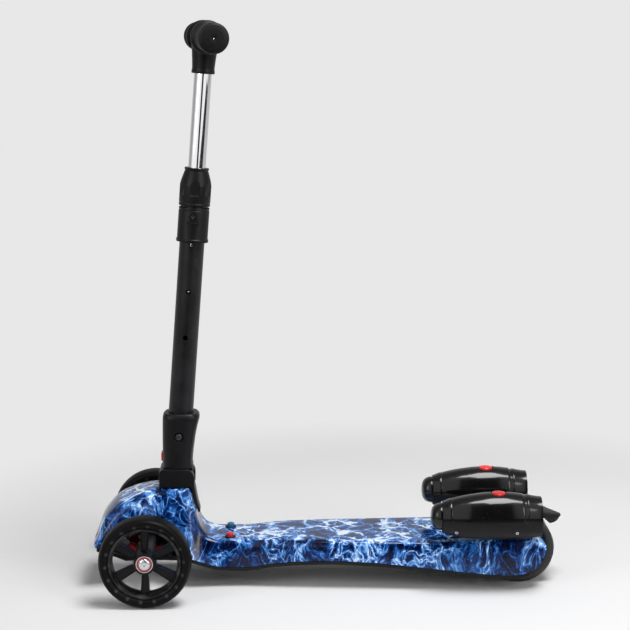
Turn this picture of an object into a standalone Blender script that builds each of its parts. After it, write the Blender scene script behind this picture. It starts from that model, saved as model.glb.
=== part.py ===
"""Kids' kick scooter: lean-steered front axle, folding mast with a sliding T-bar, printed deck shell and two
mist jets. Metres, +Z up, +X to the rear. Places along X are counted from the front axle, and one empty
shifts the whole scooter so that its origin is the middle of its footprint on the ground."""

import math

import bmesh
import bpy
from mathutils import Matrix, Vector

# Fits
GAP = 0.0003
BORE_GAP = 0.0003
SEAM_GAP = 0.0006
RUN_GAP = 0.0006

# Front wheels
FRONT_WHEEL_R = 0.060
FRONT_TYRE_W = 0.032
FRONT_TYRE_EDGE = 0.008
FRONT_TRACK = 0.234
FRONT_TYRE_T = 0.013
FRONT_RIM_R = FRONT_WHEEL_R - FRONT_TYRE_T
FRONT_RIM_T = 0.0045
FRONT_HUB_W = 0.027
FRONT_WINDOW_OUT = FRONT_RIM_R - FRONT_RIM_T
FRONT_WINDOW_IN = 0.0165
FRONT_SPOKES = 6
FRONT_SPOKE_W = 0.0085
FRONT_WEB_T = 0.011
HUB_BOSS_R = 0.0145
BEARING_R = 0.011
BEARING_W = 0.007
SPACER_R = 0.0080
AXLE_R = 0.004
BOLT_HEAD_R = 0.0075
BOLT_HEAD_T = 0.0022
BOLT_HEAD_EDGE = 0.001

# Truck: beam, kingpin and red cushions
BEAM_H = 0.020
BEAM_D = 0.018
BEAM_BEVEL = 0.004
BEAM_END_GAP = 0.0015
STUB_IN = 0.045
STEER_TILT = math.radians(40)
KINGPIN_R = 0.005
KINGPIN_HEAD_R = 0.008
KINGPIN_HEAD_T = 0.004
KINGPIN_TAIL = 0.004
STEER_BOSS_R = 0.0125
STEER_BOSS_L = 0.026
STEER_ARM_T = 0.009
STEER_ARM_Y = 0.010
UPPER_ARM_REACH = 0.062
LOWER_ARM_REACH = 0.038
SWING_R = 0.0215
CUSHION_R = 0.0070
CUSHION_EDGE = 0.0015
CUSHION_WAIST = 0.0012
CUSHION_Y = (0.0150, 0.0290)
FRONT_CUSHION_X = -0.0243
REAR_CUSHION_X = 0.0148

# Rear wheels
REAR_AXLE_X = 0.497
REAR_WHEEL_R = 0.047
REAR_TYRE_W = 0.027
REAR_TYRE_EDGE = 0.003
REAR_WHEEL_Y = 0.0195
REAR_RIM_R = 0.034
REAR_RIM_T = 0.004
REAR_WEB_T = 0.012
HUB_SHARE = 0.86

# Deck shell stations: X at the corners, how far the middle bows forward, half width of the top, half width
# of the lower edge, top Z, lower edge Z
DECK_WALL = 0.0026
DECK_EDGE_R = 0.0075
DECK_TOP_Z = 0.066
REAR_TOP_Z = 0.070
NECK_TOP_Z = 0.131
CHEEK_END_X = 0.528
BOW, TOP_HALF, LOW_HALF, TOP, LOW = range(1, 6)
STATIONS = (
    (-0.0705, 0.0030, 0.0480, 0.0500, 0.0640, 0.0570),
    (-0.0670, 0.0035, 0.0505, 0.0525, 0.0700, 0.0570),
    (-0.0600, 0.0058, 0.0515, 0.0545, 0.0845, 0.0565),
    (-0.0550, 0.0070, 0.0505, 0.0555, 0.0935, 0.0560),
    (-0.0400, 0.0070, 0.0480, 0.0560, 0.1095, 0.0550),
    (-0.0210, 0.0045, 0.0440, 0.0560, 0.1205, 0.0520),
    (-0.0040, 0.0020, 0.0375, 0.0560, 0.1270, 0.0480),
    (0.0120, 0.0, 0.0300, 0.0560, NECK_TOP_Z, 0.0450),
    (0.0340, 0.0, 0.0285, 0.0550, NECK_TOP_Z, 0.0430),
    (0.0525, 0.0, 0.0290, 0.0540, NECK_TOP_Z, 0.0415),
    (0.0610, 0.0, 0.0305, 0.0520, 0.1010, 0.0400),
    (0.0680, 0.0, 0.0335, 0.0505, 0.0800, 0.0370),
    (0.0780, 0.0, 0.0385, 0.0490, 0.0680, 0.0335),
    (0.0940, 0.0, 0.0410, 0.0465, 0.0635, 0.0290),
    (0.1250, 0.0, 0.0415, 0.0450, 0.0632, 0.0275),
    (0.1680, 0.0, 0.0480, 0.0500, 0.0655, 0.0345),
    (0.2030, 0.0, 0.0525, 0.0540, DECK_TOP_Z, 0.0380),
    (0.2400, 0.0, 0.0560, 0.0570, DECK_TOP_Z, 0.0395),
    (0.3000, 0.0, 0.0600, 0.0605, DECK_TOP_Z, 0.0375),
    (0.3500, 0.0, 0.0630, 0.0635, DECK_TOP_Z, 0.0330),
    (0.3900, 0.0, 0.0655, 0.0660, DECK_TOP_Z, 0.0290),
    (0.4300, 0.0, 0.0670, 0.0680, 0.0690, 0.0250),
    (0.4500, 0.0, 0.0670, 0.0680, REAR_TOP_Z, 0.0232),
    (0.4850, 0.0, 0.0665, 0.0675, REAR_TOP_Z, 0.0210),
    (0.5050, 0.0, 0.0655, 0.0660, REAR_TOP_Z, 0.0245),
    (0.5170, 0.0, 0.0640, 0.0640, 0.0690, 0.0320),
    (0.5240, 0.0, 0.0620, 0.0620, 0.0650, 0.0415),
    (CHEEK_END_X, 0.0, 0.0600, 0.0600, 0.0600, 0.0520),
)
WELL_X = 0.446
WELL_Y = 0.0365

# Outline of the wheel arch in the cheeks of the nose, as X and Z
ARCH_OUTLINE = (
    (-0.064, 0.045),
    (-0.064, 0.050),
    (-0.058, 0.062),
    (-0.048, 0.078),
    (-0.036, 0.088),
    (0.015, 0.088),
    (0.024, 0.072),
    (0.030, 0.060),
    (0.058, 0.046),
    (0.058, 0.035),
)

# Tray: front rows as X at the corners, bow, half width, top Z, bottom Z
TRAY_T = 0.0060
TRAY_CHAMFER = 0.0025
FLOOR_Z = (0.0330, 0.0400)
TRAY_FRONT_X = 0.058
TRAY_REAR_X = 0.505
TRAY_WELL_GAP = 0.001
TRAY_WELL_X = 0.444
TRAY_FRONT = (
    (-0.0690, 0.0030, 0.0475, 0.0563, 0.0503),
    (-0.0500, 0.0020, 0.0420, 0.0480, 0.0430),
    (-0.0320, 0.0, 0.0340, FLOOR_Z[1], FLOOR_Z[0]),
    (0.0, 0.0, 0.0300, FLOOR_Z[1], FLOOR_Z[0]),
    (0.0400, 0.0, 0.0340, FLOOR_Z[1], FLOOR_Z[0]),
)
EAR_POCKET_X = (-0.003, 0.025)
EAR_POCKET_Y = 0.0140
AXLE_BLOCK_L = 0.024
AXLE_BLOCK_Y = (0.039, 0.060)
AXLE_BLOCK_TOP = 0.058
TRAY_BOSS_X = (0.060, 0.092)
TRAY_BOSS_Y = 0.028
TRAY_BOSS_Z = 0.026

# Head casting
CAST_TOP_Z = NECK_TOP_Z - DECK_WALL - SEAM_GAP
WEB_X = (0.0285, 0.0485)
WEB_Y = 0.020
FOOT_X = (0.040, 0.090)
FOOT_Y = 0.026
FOOT_Z = (0.0480, 0.0565)

# Mast: lean back from upright and the place where its axis meets the ground
MAST_LEAN = math.radians(4.2)
MAST_FOOT_X = 0.0251
OUTER_TUBE_R = 0.0164
OUTER_TUBE_WALL = 0.0016
OUTER_TUBE_S = (0.187, 0.530)
INNER_TUBE_R = 0.0114
INNER_TUBE_WALL = 0.0013
INNER_TUBE_S = (0.378, 0.722)
HOLE_PITCH = 0.0613
HOLE_R = 0.0034
SNAP_S = 0.3955
SNAP_R = 0.0030
SNAP_L = 0.0098
PLUG_L = 0.030
CLAMP_BODY_S = (0.461, 0.5065)
CLAMP_BODY_R = 0.0202
CLAMP_RIM = 0.0009
CLAMP_RIM_L = 0.004
CLAMP_NUT_S = (0.5085, 0.5580)
CLAMP_NUT_R = 0.0206
CLAMP_LIP_R = 0.0162
NUT_FLAT_W = 0.015
NUT_FLAT_DEEP = 0.0014
NUT_FLAT_S = (0.5220, 0.5520)
BUSH_L = 0.030
BUSH_FLANGE_T = 0.003

# T-bar
BAR_S = 0.7265
BAR_HALF = 0.1205
BAR_TURN = math.radians(7)
BAR_TUBE_R = 0.0110
BAR_TUBE_WALL = 0.0015
BAR_TUBE_IN = 0.006
T_SLEEVE_R = 0.0148
T_SLEEVE_S = 0.680
T_CROSS_R = 0.0165
T_CROSS_HALF = 0.028
GRIP_IN = 0.0300
GRIP_R = 0.0165
GRIP_RIB = 0.0012
GRIP_RIBS = 4
GRIP_END_R = 0.0193
GRIP_END_T = 0.009
GRIP_FLANGE_R = 0.0220
GRIP_FLANGE_T = 0.005

# Fold joint
BASE_X = (0.0130, 0.0600)
BASE_Y = 0.0235
BASE_TOP_Z = 0.156
BASE_FRONT_R = 0.006
BASE_EDGE = 0.0012
BASE_PLUG_X = (0.020, 0.050)
BASE_PLUG_Y = 0.018
FOLD_R = 0.012
FOLD_X = BASE_X[1] - FOLD_R
FOLD_Z = BASE_TOP_Z - FOLD_R
FOLD_PIN_R = 0.004
FOLD_PIN_IN = 0.0015
TONGUE_Y = 0.0117
TONGUE_R = 0.010
TONGUE_RUN = 0.0008
SLEEVE_LOW_Z = BASE_TOP_Z + 0.0004
SLEEVE_TOP_Z = 0.2305
SLEEVE_FRONT_X = 0.0173
CATCH_Z = (0.1635, 0.1760)
CATCH_Y = 0.0072
CATCH_OUT = 0.0020
CATCH_T = 0.0065
CATCH_TRAVEL = 0.004
MAST_BOLT_S = 0.2005
MAST_BOLT_R = 0.0030
MAST_BOLT_HALF = 0.0190
MAST_BOLT_HEAD_R = 0.0046
MAST_BOLT_HEAD_T = 0.0028

# Strip down the back of the neck: Z, front X, rear X, half width
TAIL_ROWS = (
    (0.137, 0.0515, 0.0577, 0.0160),
    (0.126, 0.0545, 0.0605, 0.0155),
    (0.108, 0.0597, 0.0637, 0.0140),
    (0.094, 0.0640, 0.0672, 0.0110),
)

# Sleeve sections: Z, front X, rear X, half width
SLEEVE_ROWS = (
    (SLEEVE_LOW_Z, 0.0178, 0.0577, 0.0215),
    (SLEEVE_LOW_Z + 0.004, SLEEVE_FRONT_X, 0.0573, 0.0220),
    (0.193, SLEEVE_FRONT_X, 0.0605, 0.0225),
    (0.214, 0.0175, 0.0645, 0.0230),
    (SLEEVE_TOP_Z - 0.006, 0.0178, 0.0670, 0.0235),
    (SLEEVE_TOP_Z - 0.0015, 0.0190, 0.0660, 0.0225),
    (SLEEVE_TOP_Z, 0.0215, 0.0635, 0.0205),
)

# Mist jets: stations as X, half width, top Z, bottom Z
JET_Y = 0.0655
JET_SPLIT_Z = 0.1010
JET_WIDE, JET_TOP, JET_LOW = range(1, 4)
JET_STATIONS = (
    (0.3873, 0.0190, 0.1218, 0.0838),
    (0.3960, 0.0212, 0.1250, 0.0810),
    (0.4100, 0.0240, 0.1288, 0.0775),
    (0.4280, 0.0262, 0.1322, 0.0755),
    (0.4500, 0.0274, 0.1345, 0.0750),
    (0.4700, 0.0274, 0.1347, 0.0750),
    (0.4940, 0.0262, 0.1325, 0.0755),
    (0.5180, 0.0240, 0.1287, 0.0775),
)
JET_UNDER = ((0.985, 0.25), (0.93, 0.50), (0.82, 0.72), (0.66, 0.90), (0.49, 1.0))
JET_WALL = 0.0022
JET_ROOM_X = 0.3905
JET_COLLAR_END_X = 0.3992
JET_COLLAR_UP = 0.0007
JET_GROOVE_X = (0.4940, 0.4982)
JET_GROOVE_DEEP = 0.0011
JET_STEP = 0.0004
JET_NOSE_Z = 0.1027
JET_NOSE = ((0.0180, 0.3840), (0.0165, 0.3790), (0.0135, 0.3755), (0.0085, 0.3733), (0.0040, 0.3726))
JET_NOSE_X = (0.3725, 0.3870)
JET_FOOT_X = (0.450, 0.505)
JET_FOOT_Y = (0.0500, 0.0655)
NOZZLE_Z = 0.1035
NOZZLE_X = (0.4990, 0.5175)
NOZZLE_MOUTH_R = 0.0175
NOZZLE_THROAT_R = 0.0110
NOZZLE_THROAT_X = 0.5060
NOZZLE_HOLE_R = 0.0030
CAP_X = 0.4618
CAP_R = 0.0098
CAP_UP = 0.0012
CAP_LOW_Z = 0.1285
TANK_X = (0.428, 0.480)
TANK_Y = 0.0060
TANK_Z = (0.0783, 0.1200)
TANK_NECK_R = 0.006

# Brake flap sections: X, top Z, half width, lowest Z of the underside
BRAKE_PIN_X = 0.4385
BRAKE_PIN_Z = 0.0790
BRAKE_PIN_R = 0.0025
BRAKE_PIN_IN = 0.004
KNUCKLE_R = 0.0060
KNUCKLE_Y = (0.012, 0.029)
KNUCKLE_REAR_X = 0.4475
BRAKE_MOUNT_L = 0.0100
BRAKE_MOUNT_Y = 0.0112
BRAKE_MOUNT_UP = 0.0055
FLAP_GAP = 0.0050
FLAP_HALF = 0.0320
FLAP_TIP_X = 0.5560
FLAP_ROWS = (
    (0.4440, 0.0880, FLAP_HALF - 0.0015, 0.0820),
    (0.4560, 0.0925, FLAP_HALF, 0.0820),
    (0.4700, 0.0985, FLAP_HALF, 0.0820),
    (0.4850, 0.1022, FLAP_HALF, 0.0820),
    (0.4970, 0.1035, FLAP_HALF, 0.0820),
    (0.5100, 0.1030, FLAP_HALF - 0.001, 0.0820),
    (0.5220, 0.0990, 0.0285, 0.0820),
    (0.5340, 0.0935, 0.0235, 0.0785),
    (0.5450, 0.0895, 0.0165, 0.0790),
    (0.5520, 0.0877, 0.0100, 0.0815),
    (FLAP_TIP_X, 0.0866, 0.0045, 0.0844),
)

# Buttons and nose light
BUTTON_X = 0.1075
BUTTON_Y = 0.0230
BUTTON_R = 0.0048
BUTTON_FLANGE_R = 0.0075
BUTTON_FLANGE_T = 0.002
BUTTON_UP = 0.0058
BEZEL_R = 0.0078
BEZEL_UP = 0.0012
LIGHT_Y = 0.0260
LIGHT_T = 0.0013
LIGHT_BOW = 1.5
LIGHT_FACE = ((-0.0743, 0.0595), (-0.0738, 0.0645), (-0.0712, 0.0700), (-0.0690, 0.0765))

# Electrics
COVER_X = (0.205, 0.292)
COVER_Y = 0.034
COVER_Z = (0.0318, 0.0348)
PACK_X = (0.212, 0.286)
PACK_Y = 0.030
PACK_H = 0.018
BOARD_HALF = 0.026
BOARD_T = 0.0016
BOARD_X = 0.325
SPEAKER_X = 0.371
SPEAKER = ((0.020, 0.016), (0.020, 0.012), (0.013, 0.004), (0.013, GAP))

SHIFT_X = -(LIGHT_FACE[0][0] + FLAP_TIP_X) / 2


def clear_scene():
    for old in list(bpy.data.objects):
        bpy.data.objects.remove(old, do_unlink=True)


def new_collection(name):
    made = bpy.data.collections.new(name)
    bpy.context.scene.collection.children.link(made)
    return made


clear_scene()
PARTS = new_collection("kick_scooter")
CUTTERS = new_collection("cutters")


def material(name, colour, roughness, metallic=0.0):
    made = bpy.data.materials.new(name)
    made.use_nodes = True
    shader = made.node_tree.nodes["Principled BSDF"]
    shader.inputs["Base Color"].default_value = (*colour, 1.0)
    shader.inputs["Roughness"].default_value = roughness
    shader.inputs["Metallic"].default_value = metallic
    made.diffuse_color = (*colour, 1.0)
    return made


BLUE_PRINT = material("blue_print", (0.05, 0.16, 0.55), 0.15)
BLACK_SATIN = material("black_satin", (0.02, 0.02, 0.022), 0.45)
BLACK_GLOSS = material("black_gloss", (0.008, 0.008, 0.01), 0.12)
CHROME = material("chrome", (0.85, 0.85, 0.87), 0.08, 1.0)
STEEL = material("steel", (0.55, 0.56, 0.58), 0.3, 1.0)
RED = material("red", (0.75, 0.03, 0.03), 0.3)
TEAL = material("teal", (0.02, 0.25, 0.5), 0.3)
TYRE = material("smoke_tyre", (0.05, 0.05, 0.055), 0.35)
RUBBER = material("rubber", (0.015, 0.015, 0.015), 0.7)
BOARD = material("board", (0.02, 0.2, 0.06), 0.5)
CELL = material("cell", (0.1, 0.12, 0.3), 0.4)
CLEAR = material("clear_tank", (0.6, 0.65, 0.7), 0.1)


def empty(name, location, parent=None, rotation=(0, 0, 0)):
    made = bpy.data.objects.new(name, None)
    PARTS.objects.link(made)
    made.location = location
    made.rotation_euler = rotation
    made.parent = parent
    return made


ROOT = empty("scooter", (SHIFT_X, 0, 0))
STEER = empty("steer_line", (0, 0, FRONT_WHEEL_R), ROOT, (0, -STEER_TILT, 0))
MAST = empty("mast_line", (MAST_FOOT_X, 0, 0), ROOT, (0, MAST_LEAN, 0))
BAR = empty("bar_line", (0, 0, BAR_S), MAST, (0, 0, BAR_TURN))

AIM_LEFT = (math.pi / 2, 0, 0)
AIM_RIGHT = (-math.pi / 2, 0, 0)
AIM_REAR = (0, math.pi / 2, 0)
SIDES = ((-1, "left", AIM_LEFT), (1, "right", AIM_RIGHT))


def part(name, mesh, finish, location=(0, 0, 0), rotation=(0, 0, 0), parent=None):
    made = bpy.data.objects.new(name, mesh)
    PARTS.objects.link(made)
    made.location = location
    made.rotation_euler = rotation
    made.parent = parent or ROOT
    mesh.materials.append(finish)
    mesh.shade_smooth()
    mesh.set_sharp_from_angle(angle=math.radians(35))
    return made


def helper(made):
    for group in list(made.users_collection):
        group.objects.unlink(made)
    CUTTERS.objects.link(made)
    made.hide_render = True
    made.display_type = "WIRE"
    return made


def boolean(made, other, operation="DIFFERENCE"):
    helper(other)
    step = made.modifiers.new(other.name, "BOOLEAN")
    step.operation = operation
    step.object = other
    step.solver = "EXACT"
    return made


def mesh_from(bm, name):
    mesh = bpy.data.meshes.new(name)
    bm.to_mesh(mesh)
    bm.free()
    return mesh


def bevelled(made, width, segments=2):
    step = made.modifiers.new("edges", "BEVEL")
    step.width = width
    step.segments = segments
    step.limit_method = "ANGLE"
    return made


def box(name, low, high, finish=RED, bevel=0.0, parent=None):
    """A box between two corners, its origin at its middle."""
    low, high = Vector(low), Vector(high)
    bm = bmesh.new()
    bmesh.ops.create_cube(bm, size=1.0, matrix=Matrix.Diagonal((*(high - low), 1.0)))
    made = part(name, mesh_from(bm, name), finish, (low + high) / 2, parent=parent)
    return bevelled(made, bevel) if bevel else made


def block(name, x, half_y, z, finish=RED, bevel=0.0, parent=None):
    """A box that is even about the scooter's middle plane."""
    return box(name, (x[0], -half_y, z[0]), (x[1], half_y, z[1]), finish, bevel, parent)


def turned(name, profile, finish, location=(0, 0, 0), rotation=(0, 0, 0), steps=24, parent=None):
    """A solid of revolution about its own Z. The profile is (radius, height) down the outer side."""
    closed = profile[0][0] > 0 or profile[-1][0] > 0
    mesh = bpy.data.meshes.new(name)
    points = [(radius, 0.0, height) for radius, height in profile]
    edges = [(i, i + 1) for i in range(len(points) - 1)]
    if closed:
        edges.append((len(points) - 1, 0))
    mesh.from_pydata(points, edges, [])
    made = part(name, mesh, finish, location, rotation, parent)
    step = made.modifiers.new("turn", "SCREW")
    step.steps = step.render_steps = steps
    step.use_merge_vertices = True
    step.merge_threshold = 0.00005
    step.use_smooth_shade = True
    return made


def rod(name, radius, low, high, finish=RED, steps=16, **placing):
    return turned(name, [(0, high), (radius, high), (radius, low), (0, low)], finish, steps=steps, **placing)


def tube(name, outer, inner, low, high, finish, steps=24, **placing):
    ring = [(outer, high), (outer, low), (inner, low), (inner, high)]
    return turned(name, ring, finish, steps=steps, **placing)


def pierce(made, name, radius, low, high, steps=16, **placing):
    """A round hole along the cutter's own Z."""
    return boolean(made, rod(name, radius, low, high, steps=steps, **placing))


def pierce_across(made, name, radius, reach, x, z, parent=None):
    """A round hole from side to side."""
    place = {"location": (x, 0, z), "rotation": AIM_RIGHT, "parent": parent}
    return pierce(made, name, radius, -reach, reach, **place)


def loft(name, rings, finish=RED, parent=None):
    """A skin through closed rings of points, with flat ends."""
    bm = bmesh.new()
    rows = [[bm.verts.new(point) for point in ring] for ring in rings]
    count = len(rows[0])
    for first, second in zip(rows, rows[1:]):
        for i in range(count):
            j = (i + 1) % count
            bm.faces.new((first[i], first[j], second[j], second[i]))
    bm.faces.new(rows[0][::-1])
    bm.faces.new(rows[-1])
    bmesh.ops.recalc_face_normals(bm, faces=bm.faces)
    return part(name, mesh_from(bm, name), finish, parent=parent)


def plate(name, outline, half_y, finish=RED):
    """An outline in X and Z, thickened to both sides of the middle plane."""
    return loft(name, [[(x, y, z) for x, z in outline] for y in (-half_y, half_y)], finish)


def arc(centre, radius, start, end, count):
    """Points on an arc, its angles in degrees."""
    turns = [math.radians(start + (end - start) * i / count) for i in range(count + 1)]
    return [(centre[0] + radius * math.cos(turn), centre[1] + radius * math.sin(turn)) for turn in turns]


def between(table, x, column):
    """A column of a table at x, on straight lines between its rows."""
    if x <= table[0][0]:
        return table[0][column]
    for first, second in zip(table, table[1:]):
        if x <= second[0]:
            share = (x - first[0]) / (second[0] - first[0])
            return first[column] + share * (second[column] - first[column])
    return table[-1][column]


def bowed(x, bow, y, half):
    """X of a point at y on a cross line whose middle bows forward."""
    return x - bow * (1 - (y / half) ** 2)


# Deck shell


def deck_arch(x, bow, top_half, low_half, top, low):
    """One arch of the shell, from its left lower edge over the top to its right lower edge."""
    radius = min(DECK_EDGE_R, (top - low) * 0.45)
    slope = (low_half - top_half) / max(top - low, 0.001)
    flat = top_half - radius
    right = [(flat * 0.5, top)]
    for across, up in arc((flat, top - radius), radius, 90, 0, 3):
        right.append((across + slope * (top - up), up))
    right.append(((top_half + low_half) / 2, (top + low) / 2 - radius * 0.3))
    right.append((low_half, low))
    line = [(-y, z) for y, z in reversed(right)] + [(0.0, top)] + right
    return [(bowed(x, bow, y, low_half), y, z) for y, z in line]


def inner_stations():
    """The stations of the shell's inside, a wall's thickness in from those outside."""
    line = [Vector((row[0], row[TOP])) for row in STATIONS]
    made = []
    for i, (x, bow, top_half, low_half, top, _) in enumerate(STATIONS):
        before = line[i] - line[i - 1] if i else Vector((1.0, 1.0))
        after = line[i + 1] - line[i] if i + 1 < len(line) else Vector((1.0, -1.0))
        along = (before.normalized() + after.normalized()).normalized()
        place = x + along.y * DECK_WALL
        halves = (top_half - DECK_WALL, low_half - DECK_WALL)
        made.append((place, bow, *halves, top - along.x * DECK_WALL, between(STATIONS, place, LOW)))
    return made


def make_deck_shell():
    bm = bmesh.new()
    domes = []
    for stations in (STATIONS, inner_stations()):
        rows = [[bm.verts.new(point) for point in deck_arch(*station)] for station in stations]
        for first, second in zip(rows, rows[1:]):
            for i in range(len(first) - 1):
                bm.faces.new((first[i], first[i + 1], second[i + 1], second[i]))
        for end in (rows[0], rows[-1]):
            middle = len(end) // 2
            for i in range(middle):
                corners = (end[i], end[i + 1], end[-2 - i], end[-1 - i])
                bm.faces.new(dict.fromkeys(corners))
        domes.append(rows)
    outer, inner = domes
    for side in (0, -1):
        for i in range(len(outer) - 1):
            bm.faces.new((outer[i][side], outer[i + 1][side], inner[i + 1][side], inner[i][side]))
    for end in (0, -1):
        bm.faces.new((outer[end][0], outer[end][-1], inner[end][-1], inner[end][0]))
    bmesh.ops.recalc_face_normals(bm, faces=bm.faces)
    shell = part("deck_shell", mesh_from(bm, "deck_shell"), BLUE_PRINT)
    boolean(shell, plate("arch_cut", ARCH_OUTLINE, 0.1))
    boolean(shell, block("well_cut", (WELL_X, CHEEK_END_X + 0.05), WELL_Y, (0, 0.15)))
    plug_x = (BASE_PLUG_X[0] - GAP, BASE_PLUG_X[1] + GAP)
    boolean(shell, block("plug_cut", plug_x, BASE_PLUG_Y + GAP, (NECK_TOP_Z - 0.02, NECK_TOP_Z + 0.02)))
    boolean(shell, make_nose_strip("light_cut", GAP))
    for side, word, _ in SIDES:
        place = {"location": (BUTTON_X, side * BUTTON_Y, between(STATIONS, BUTTON_X, TOP))}
        bezel = rod(f"bezel_{word}", BEZEL_R, -DECK_WALL / 2, BEZEL_UP, steps=24, **place)
        boolean(shell, bezel, "UNION")
        pierce(shell, f"button_cut_{word}", BUTTON_R + RUN_GAP, -0.01, 0.01, **place)
    return shell


def make_nose_strip(name, grow, finish=RED):
    """The panel of the nose light, bowed like the nose. It grows on every side to cut its own seat."""
    front = [(x - grow, z) for x, z in LIGHT_FACE]
    rear = [(x + LIGHT_T + grow, z) for x, z in reversed(LIGHT_FACE)]
    line = front + rear
    low, high = LIGHT_FACE[0][1] - grow, LIGHT_FACE[-1][1] + grow
    line[0], line[-1] = (front[0][0], low), (rear[-1][0], low)
    line[len(front) - 1], line[len(front)] = (front[-1][0], high), (rear[0][0], high)
    rings = []
    steps = 8
    for i in range(steps + 1):
        y = (LIGHT_Y + grow) * (2 * i / steps - 1)
        rings.append([(x + LIGHT_BOW * y * y, y, z) for x, z in line])
    return loft(name, rings, finish)


# Tray


def tray_ring(x, bow, half, top, bottom):
    cut = TRAY_CHAMFER
    right = [(half - cut, bottom), (half, bottom + cut), (half, top)]
    line = [(-y, z) for y, z in reversed(right)] + right
    return [(bowed(x, bow, y, half), y, z) for y, z in line]


def make_deck_tray():
    middle = [x for x, *_ in STATIONS if TRAY_FRONT_X < x < TRAY_REAR_X]
    rows = list(TRAY_FRONT)
    for x in (TRAY_FRONT_X, *middle, TRAY_REAR_X):
        low = between(STATIONS, x, LOW)
        rows.append((x, 0.0, between(STATIONS, x, LOW_HALF), low - SEAM_GAP, low - TRAY_T))
    tray = loft("deck_tray", [tray_ring(*row) for row in rows], BLACK_SATIN)
    boolean(tray, block("tray_well_cut", (TRAY_WELL_X, 0.6), WELL_Y + TRAY_WELL_GAP, (0, 0.1)))
    boolean(tray, block("ear_pocket", EAR_POCKET_X, EAR_POCKET_Y, (0.02, 0.05)))
    for side, word, _ in SIDES:
        near, far = sorted((side * AXLE_BLOCK_Y[0], side * AXLE_BLOCK_Y[1]))
        foot = between(STATIONS, REAR_AXLE_X, LOW) - TRAY_T / 2
        low = (REAR_AXLE_X - AXLE_BLOCK_L / 2, near, foot)
        high = (REAR_AXLE_X + AXLE_BLOCK_L / 2, far, AXLE_BLOCK_TOP)
        boolean(tray, box(f"axle_block_{word}", low, high), "UNION")
    boss = block("tray_boss", TRAY_BOSS_X, TRAY_BOSS_Y, (TRAY_BOSS_Z, FOOT_Z[0] - GAP))
    boolean(tray, boss, "UNION")
    pierce_across(tray, "rear_axle_cut", AXLE_R + BORE_GAP, 0.08, REAR_AXLE_X, REAR_WHEEL_R)
    pocket_x = (COVER_X[0] - GAP, COVER_X[1] + GAP)
    boolean(tray, block("cover_pocket", pocket_x, COVER_Y + GAP, (0.02, COVER_Z[1] + GAP)))


# Head casting and truck


def make_head_casting():
    """The web under the fold base, with an arm over and an arm under the axle beam for the kingpin."""
    web = block("head_casting", WEB_X, WEB_Y, (FLOOR_Z[1] + GAP, CAST_TOP_Z), BLACK_SATIN)
    boolean(web, block("cast_foot", FOOT_X, FOOT_Y, FOOT_Z), "UNION")
    half = STEER_BOSS_L / 2 + GAP
    for word, sign, reach in (("upper", 1, UPPER_ARM_REACH), ("lower", -1, LOWER_ARM_REACH)):
        start, end = sorted((sign * (half - 0.003), sign * (half + STEER_ARM_T)))
        ear = rod(f"{word}_ear", STEER_BOSS_R, start, end, steps=24, parent=STEER)
        boolean(web, ear, "UNION")
        deep = sorted((sign * (half - 0.002), sign * (half + STEER_ARM_T - 0.001)))
        boolean(web, block(f"{word}_arm", (0.002, reach), STEER_ARM_Y, deep, parent=STEER), "UNION")
    pierce(web, "beam_swing_cut", SWING_R, -half, half, steps=28, parent=STEER)
    pierce(web, "kingpin_cut", KINGPIN_R + BORE_GAP, -0.045, 0.045, steps=20, parent=STEER)


def make_kingpin():
    seat = STEER_BOSS_L / 2 + GAP + STEER_ARM_T
    head = seat + GAP
    profile = [
        (0, head + KINGPIN_HEAD_T),
        (KINGPIN_HEAD_R, head + KINGPIN_HEAD_T),
        (KINGPIN_HEAD_R, head),
        (KINGPIN_R, head),
        (KINGPIN_R, -seat - KINGPIN_TAIL),
        (0, -seat - KINGPIN_TAIL),
    ]
    turned("kingpin", profile, STEEL, steps=16, parent=STEER)


def make_axle_beam():
    half = FRONT_TRACK / 2 - FRONT_HUB_W / 2 - BEAM_END_GAP
    deep = (FRONT_WHEEL_R - BEAM_H / 2, FRONT_WHEEL_R + BEAM_H / 2)
    beam = block("axle_beam", (-BEAM_D / 2, BEAM_D / 2), half, deep, BLACK_SATIN, BEAM_BEVEL)
    boss = rod("steer_boss", STEER_BOSS_R, -STEER_BOSS_L / 2, STEER_BOSS_L / 2, steps=24, parent=STEER)
    boolean(beam, boss, "UNION")
    pierce(beam, "beam_kingpin_cut", KINGPIN_R + BORE_GAP, -0.04, 0.04, parent=STEER)
    for _, word, aim in SIDES:
        place = {"location": (0, 0, FRONT_WHEEL_R), "rotation": aim}
        pierce(beam, f"stub_cut_{word}", AXLE_R + BORE_GAP, STUB_IN, half + 0.01, **place)


def make_axle_bolt(word, aim):
    """A stub axle bolt: its shank in the beam and the hub, its round head outside the bearing."""
    head = FRONT_TRACK / 2 + FRONT_HUB_W / 2 + GAP
    profile = [
        (0, head + BOLT_HEAD_T),
        (BOLT_HEAD_R - BOLT_HEAD_EDGE, head + BOLT_HEAD_T),
        (BOLT_HEAD_R, head + BOLT_HEAD_T - BOLT_HEAD_EDGE),
        (BOLT_HEAD_R, head),
        (AXLE_R, head),
        (AXLE_R, STUB_IN + 0.001),
        (0, STUB_IN + 0.001),
    ]
    turned(f"axle_bolt_{word}", profile, STEEL, (0, 0, FRONT_WHEEL_R), aim)


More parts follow.
